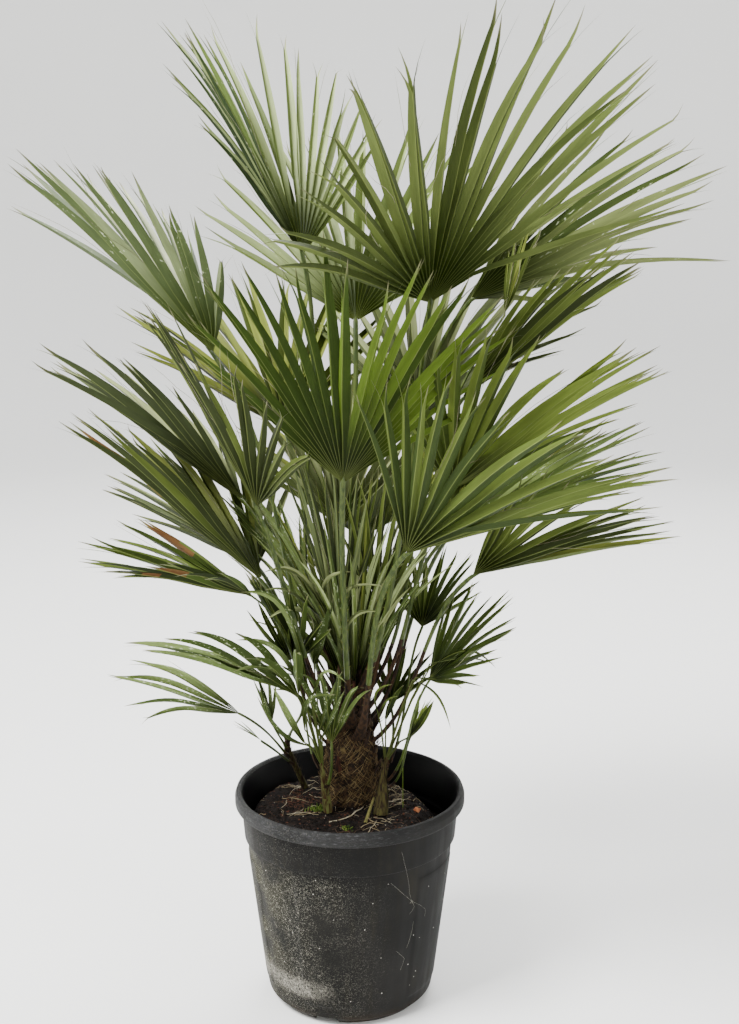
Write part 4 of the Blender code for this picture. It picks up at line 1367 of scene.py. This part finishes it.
@dataclass
class Pot:
    """The nursery pot: rolled rim, collar, five raised panels and notches round the foot."""

    sides: int = 320
    panels: int = 5
    panel_centre: float = -101.0
    panel_half: float = 19.5
    panel_rise: float = 1.6 * MM
    panel_low: float = 0.037
    panel_high: float = 0.268
    notch_centre: float = -107.0
    notch_size: tuple[float, float] = (0.042, 0.014)
    wall: float = 0.0035
    rim: float = 0.200
    foot: float = 0.131
    low_radius: float = 0.1490
    high_radius: float = 0.1770
    ledge: float = 0.2935
    collar: float = 0.297
    web_low: float = 0.1509
    web_slope: float = 0.1212
    web_collar: float = 0.1874
    web_thread: float = 0.17 * MM
    web: tuple[tuple[tuple[float, float], ...], ...] = (
        ((-62.3, 0.332), (-60.9, 0.313), (-56.7, 0.274), (-55.2, 0.248), (-53.3, 0.231)),
        ((-67.1, 0.276), (-59.9, 0.252), (-53.3, 0.231), (-45.9, 0.215), (-40.9, 0.201), (-41.1, 0.188)),
        ((-53.3, 0.231), (-54.4, 0.228), (-52.4, 0.227), (-53.5, 0.233), (-52.2, 0.230)),
        ((-53.3, 0.231), (-50.7, 0.218), (-53.9, 0.206)),
        ((-50.3, 0.189), (-51.5, 0.161), (-53.8, 0.140)),
        ((-61.0, 0.141), (-54.6, 0.121), (-56.9, 0.100)))

    def __post_init__(self) -> None:
        """Reads the pot's height from the frame."""
        self.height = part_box("Pot")[1].z

    def profile(self) -> tuple[list[tuple[float, float]], list[tuple[float, float]]]:
        """Radius and height of the wall's corners.

        Returns:
            The outer wall's from the foot up, and the inner wall's from the rim down.
        """
        height, rim = self.height, self.rim
        outer = [(0.0, 0.0), (self.foot, 0.0), (0.145, 0.014), (0.1475, 0.026),
                 (self.low_radius, self.panel_low), (self.high_radius, self.panel_high),
                 (0.1790, self.ledge), (0.1842, 0.2948), (0.1868, 0.325),
                 (0.1880, height - 0.026), (rim - 0.001, height - 0.0245), (rim, height - 0.022),
                 (rim, height - 0.010), (rim - 0.0030, height - 0.0015),
                 (rim - 0.0085, height - 0.0005), (rim - 0.0125, height - 0.005)]
        inner = [(0.1812, self.collar + 0.008), (0.1765, self.collar + 0.001),
                 (self.high_radius - self.wall, self.panel_high),
                 (self.low_radius - self.wall, self.panel_low),
                 (0.1430 - self.wall, 0.018), (self.foot - 0.006, self.wall), (0.0, self.wall)]
        return outer, inner

    def softened(self, corners: list[tuple[float, float]], cut: float) -> list[tuple[float, float]]:
        """Rounds each corner of a profile.

        Args:
            corners: radius and height of each.
            cut: how far from each corner its round begins.

        Returns:
            The profile with its rounds, and steps along its long straights.
        """
        points = [corners[0]]
        for a, b, c in zip(corners, corners[1:], corners[2:]):
            p, q, r = (Vector(v) for v in (a, b, c))
            near, far = min(cut, (q - p).length * 0.45), min(cut, (r - q).length * 0.45)
            start, end = q + (p - q).normalized() * near, q + (r - q).normalized() * far
            last = Vector(points[-1])
            steps = int((start - last).length / 0.009)
            points += [tuple(last.lerp(start, i / (steps + 1))) for i in range(1, steps + 1)]
            for share in (0.0, 0.25, 0.5, 0.75, 1.0):
                point = start.lerp(q, share).lerp(q.lerp(end, share), share)
                points.append(tuple(point))
        return points + [corners[-1]]

    def raised(self, turn: float, z: float) -> float:
        """How far the wall stands out where a panel is.

        Args:
            turn: angle round the pot.
            z: height.

        Returns:
            The rise over the plain wall.
        """
        step = (math.degrees(turn) - self.panel_centre) % (360.0 / self.panels)
        off = min(step, 360.0 / self.panels - step)
        share = (clamped((self.panel_half + 1.2 - off) / 2.4)
                 * clamped((self.panel_high + 0.003 - z) / 0.006)
                 * clamped((z - self.panel_low + 0.003) / 0.006))
        return self.panel_rise * share * share * (3.0 - 2.0 * share)

    def build(self) -> None:
        """Makes the shell, cuts the notches out of its foot and lays the web on its wall."""
        outer, inner = self.profile()
        net = Net()
        rows = []
        for corners, slot in ((self.softened(outer, 0.0014), 0), (self.softened(inner, 0.003), 1)):
            for radius, z in corners:
                row = []
                for turn in (turns(self.sides) if radius else [0.0]):
                    rise = self.raised(turn, z) if slot == 0 or z < self.panel_high + self.wall else 0.0
                    row.append(polar(radius + rise, turn, z))
                rows.append((net.ring(row), slot))
        for (low, _), (high, slot) in zip(rows, rows[1:]):
            net.skin([low, high], slot)
        shell = net.piece("Pot_shell", [PotFinish().make(), InnerFinish().make()], "pot", ("Pot",),
                          sharp=50.0)
        self.cut_foot(shell)
        self.spin()

    def spin(self) -> None:
        """Lays the dusty threads of an old web on the front of the wall."""
        net = Net()
        for line in self.web:
            points = []
            for turn, z in line:
                above = z - self.panel_low
                radius = self.web_low + above * self.web_slope if z < self.ledge else self.web_collar
                points.append(polar(radius, math.radians(turn), z))
            fine = [points[0]]
            for a, b in zip(points, points[1:]):
                fine += [a.lerp(b, 0.5) + Vector((0.0006, -0.0004, 0.0)), b]
            net.tube(fine, [self.web_thread] * len(fine), 4)
        net.piece("Web_threads", fibres(("Dusty web", "5f5e56", "807e74")), "pot")

    def cut_foot(self, shell: bpy.types.Object) -> None:
        """Cuts the foot's notches out of the shell.

        Args:
            shell: the pot's mesh.
        """
        cutter = bmesh.new()
        wide, tall = self.notch_size
        for i in range(self.panels):
            turn = math.radians(self.notch_centre) + math.tau * i / self.panels
            spot = Matrix.Rotation(turn, 4, "Z") @ Matrix.Translation((self.foot - 0.008, 0.0, 0.0))
            bmesh.ops.create_cube(cutter, size=1.0,
                                  matrix=spot @ Matrix.Diagonal((0.10, wide, tall * 2.0, 1.0)))
        mesh = bpy.data.meshes.new("Foot cutter")
        cutter.to_mesh(mesh)
        cutter.free()
        tool = shown("Foot cutter", mesh)
        cut = shell.modifiers.new("Foot notches", "BOOLEAN")
        cut.operation, cut.object = "DIFFERENCE", tool
        bpy.context.view_layer.update()
        graph = bpy.context.evaluated_depsgraph_get()
        made = bpy.data.meshes.new_from_object(shell.evaluated_get(graph))
        shell.modifiers.clear()
        shell.data = made
        bpy.data.objects.remove(tool)


@dataclass
class Soil:
    """The peat's uneven top with its crumbs, dry roots, moss and a blade of grass."""

    edge: float = 0.291
    level_radius: float = 0.132
    left_rise: float = 0.016
    wall_radius: float = 0.1735
    rings: int = 60
    sides: int = 180
    crumbs: int = 3200
    clump: tuple[float, float] = (-0.085, 0.030)
    clump_spread: float = 0.022
    clump_crumbs: int = 420
    roots: int = 90
    bunches: tuple[tuple, ...] = (((-0.132, 0.100), 0.022, 16, -0.4), ((0.085, 0.086), 0.018, 22, 0.4),
                                  ((-0.097, -0.020), 0.016, 5, 0.6), ((0.015, -0.030), 0.026, 12, 0.3),
                                  ((0.070, 0.030), 0.022, 18, 1.2))
    moss: tuple[tuple, ...] = ((-0.0575, -0.006, 90, 9.0), (-0.004, -0.085, 34, 6.0), (-0.045, 0.0, 40, 6.0))

    def height(self, x: float, y: float) -> float:
        """Height of the peat at a place: level, then climbing to the wall, more so at the left.

        Args:
            x: place to the right.
            y: place to the back.

        Returns:
            The height.
        """
        away = math.hypot(x + 0.010, y - 0.004)
        left = clamped(-x / 0.12)
        level = self.level_radius + self.left_rise * left
        share = clamped((away - level) / (0.171 - level))
        base = SOIL_TOP + (self.edge - SOIL_TOP + self.left_rise * left) * share ** 1.25
        spot = Vector((x, y, 0.0))
        rough = noise.noise(spot * 26.0) * 5.0 + noise.noise(spot * 75.0) * 3.0
        rough += noise.noise(spot * 210.0) * 1.6
        return base + (rough - 1.0) * MM

    def on_top(self, x: float, y: float, lift: float = 0.0) -> Vector:
        """A point on the peat, or a little above it."""
        return Vector((x, y, self.height(x, y) + lift))

    def build(self) -> None:
        """Makes the ground, the crumbs, the roots and what grows on it."""
        ground = Net()
        rows = [[ground.point(self.on_top(0.0, 0.0))]]
        for j in range(1, self.rings + 1):
            radius = self.wall_radius * j / self.rings
            rows.append(ground.ring(self.on_top(radius * math.cos(turn), radius * math.sin(turn))
                                    for turn in turns(self.sides)))
        ground.skin(rows, turned=True)
        ground.piece("Peat_surface", [PeatFinish().make()], "soil", ("Soil",), sharp=80.0)
        self.scatter()
        self.strew()
        self.plant()

    def somewhere(self, chance: Random, reach: float = 0.168) -> tuple[float, float]:
        """A random place on the peat within reach of the middle."""
        turn, radius = chance.uniform(0.0, math.tau), reach * math.sqrt(chance.random())
        return radius * math.cos(turn), radius * math.sin(turn)

    def scatter(self) -> None:
        """Scatters crumbs of peat, bark and a few white grains."""
        chance = Random("crumbs")
        net = Net()
        for i in range(self.crumbs):
            x, y = self.somewhere(chance)
            slot = chance.choices((0, 1, 2, 3), (60, 26, 12, 2))[0]
            if i < self.clump_crumbs:
                x, y = (middle + chance.gauss(0.0, self.clump_spread) for middle in self.clump)
                slot = chance.choice((1, 2, 2))
            size = chance.uniform(0.7, 2.6) if slot else chance.uniform(0.8, 3.4)
            if slot == 3:
                size = chance.uniform(0.6, 1.3)
            half = Vector((size * chance.uniform(0.8, 1.6), size, size * chance.uniform(0.5, 0.9))) * MM
            net.lump(self.on_top(x, y, 0.4 * MM), half, chance, slot)
        clay = Vector((6.5, 6.5, 5.0)) * MM
        net.lump(self.on_top(0.117, -0.016, 4.0 * MM), clay, chance, 4)
        net.piece("Peat_crumbs", [PeatFinish("Peat crumb", "050403", "16100b").make(),
                                  *fibres(("Bark crumb", "170f09", "2b1d12"),
                                          ("Red brown crumb", "2c160c", "4a2a18"),
                                          ("White grain", "99958a", "7f7a6d"),
                                          ("Orange clay", "7c452a", "9c6440"))], "soil", sharp=15.0)

    def root(self, net: Net, start: Vector, turn: float, length: float, thick: float,
             chance: Random, slot: int) -> None:
        """Lays one dry root on the peat.

        Args:
            net: the piece that gathers roots.
            start: where it begins; only its place counts.
            turn: its heading.
            length: its length.
            thick: its radius.
            chance: the source of its wandering.
            slot: number of its finish.
        """
        points, x, y = [], start.x, start.y
        hop = chance.uniform(0.0, 3.5) * MM
        for j in range(8):
            share = j / 7
            points.append(self.on_top(x, y, thick + hop * math.sin(math.pi * share)))
            turn += chance.uniform(-0.55, 0.55)
            x += math.cos(turn) * length / 7
            y += math.sin(turn) * length / 7
            if math.hypot(x, y) > 0.170:
                turn += 1.6
        net.tube(points, [thick * 0.9] * 3 + [thick] * 2 + [thick * 0.8] * 2 + [0.0], 5, slot)

    def strew(self) -> None:
        """Lays the dry roots, thickest in the bunches that show at the left and the right."""
        chance = Random("roots")
        net = Net()
        for (x, y), wide, many, heading in self.bunches:
            for _ in range(many):
                spot = Vector((x + chance.gauss(0, wide), y + chance.gauss(0, wide), 0.0))
                self.root(net, spot, heading + chance.gauss(0, 0.6), chance.uniform(18, 55) * MM,
                          chance.uniform(0.3, 0.65) * MM, chance, chance.choice((0, 0, 1)))
        for _ in range(self.roots):
            spot = Vector((*self.somewhere(chance, 0.15), 0.0))
            self.root(net, spot, chance.uniform(0, math.tau), chance.uniform(15, 60) * MM,
                      chance.uniform(0.3, 0.6) * MM, chance, chance.choice((0, 1, 2, 2, 2)))
        self.root(net, Vector((-0.035, -0.061, 0.0)), 0.02, 0.112, 1.1 * MM, chance, 0)
        net.piece("Dry_roots", fibres(("Pale dry root", "a89f88", "82775e"),
                                      ("Tan dry root", "6e6148", "8a7d60"),
                                      ("Brown dry root", "2f2115", "483523")), "soil", sharp=60.0)

    def plant(self) -> None:
        """Grows the moss tuft, the greenish stub and the blade of grass."""
        chance = Random("moss")
        net = Net()
        for x, y, many, tall in self.moss:
            for _ in range(many):
                root = self.on_top(x + chance.gauss(0, 5.0) * MM, y + chance.gauss(0, 5.0) * MM)
                tip = root + Vector((chance.gauss(0, 3.0), chance.gauss(0, 3.0), 0.0)) * MM
                tip.z += chance.uniform(0.3, 1.0) * tall * MM
                net.tube([root, root.lerp(tip, 0.6), tip], [0.7 * MM, 0.8 * MM, 0.0], 3,
                         chance.choice((0, 1)))
        blade = [Vector(v) for v in ((0.0931, 0.0031, 0.328), (0.0925, -0.002, 0.372),
                                     (0.0921, -0.010, 0.420), (0.0919, -0.020, 0.462))]
        net.tube(blade, [0.8 * MM, 1.0 * MM, 0.7 * MM, 0.0], 4, 1)
        stub = [self.on_top(0.027, -0.062), self.on_top(0.034, -0.034, 12 * MM),
                self.on_top(0.042, -0.004, 20 * MM)]
        net.tube(stub, [3.4 * MM, 3.0 * MM, 2.2 * MM], 7, 2)
        net.piece("Moss_and_grass", fibres(("Moss", "26360c", "3b4f16"),
                                           ("Grass blade", "52681e", "6a7f30", 4.0 * MM, 0.5),
                                           ("Greenish stub", "55522a", "6d6738")), "soil", sharp=60.0)


@dataclass
class Studio:
    """Camera at the photograph's angle, a seamless pale floor and soft lights."""

    spot: Place = (0.0343, -2.2918, 1.3578)
    down: float = 12.115
    sharpness: float = 1400.7
    long_side: int = 1024
    sensor: float = 36.0
    flat: float = 5.5
    sweep: float = 2.5
    wall_top: float = 6.0

    def camera(self) -> None:
        """Sets up the camera."""
        data = bpy.data.cameras.new("Camera")
        data.sensor_width = self.sensor
        data.lens = self.sensor * self.sharpness / self.long_side
        eye = shown("Camera", data)
        eye.location = self.spot
        eye.rotation_euler = (math.radians(90.0 - self.down), 0.0, 0.0)
        bpy.context.scene.camera = eye

    def floor(self) -> None:
        """Makes the floor, which sweeps up into a wall far out all round."""
        profile = [(0.0, 0.0), (2.0, 0.0), (self.flat, 0.0)]
        profile += [(self.flat + self.sweep * math.sin(a), self.sweep - self.sweep * math.cos(a))
                    for a in (math.pi / 2 * i / 10 for i in range(1, 11))]
        profile.append((self.flat + self.sweep, self.wall_top))
        net = Net()
        net.skin([net.ring(polar(radius, turn, z) for turn in (turns(96) if radius else [0.0]))
                  for radius, z in profile], turned=True)
        net.item("Floor", [FloorFinish().make()])

    def lamp(self, name: str, spot: Place, size: float, power: float) -> None:
        """Adds a square softbox that faces the plant.

        Args:
            name: the light's name.
            spot: its place.
            size: its side.
            power: its power in watts.
        """
        data = bpy.data.lights.new(name, "AREA")
        data.size, data.energy = size, power
        item = shown(name, data)
        item.location = spot
        item.rotation_euler = (Vector((0.0, 0.0, 0.8)) - Vector(spot)).to_track_quat("-Z", "Y").to_euler()

    def lights(self) -> None:
        """Sets up a large key, a fill and an even pale sky."""
        self.lamp("Key", (-2.4, -1.6, 4.4), 2.0, 620.0)
        self.lamp("Fill", (3.4, -2.6, 2.4), 2.6, 70.0)
        self.lamp("Back", (0.9, 3.0, 4.2), 2.6, 320.0)
        world = bpy.data.worlds.new("Studio")
        world.use_nodes = True
        sky = world.node_tree.nodes["Background"]
        sky.inputs["Color"].default_value = linear("fafbff")
        sky.inputs["Strength"].default_value = 0.86
        bpy.context.scene.world = world


def main() -> None:
    """Builds the studio, then the plant from the pot up."""
    logging.basicConfig(level=logging.INFO, format="%(name)s: %(message)s")
    studio = Studio()
    studio.camera()
    studio.floor()
    studio.lights()
    Pot().build()
    Soil().build()
    Trunk().build()
    Suckers().build()
    crown = Crown()
    crown.build()
    Thicket().build(crown)


if __name__ == "__main__":
    main()
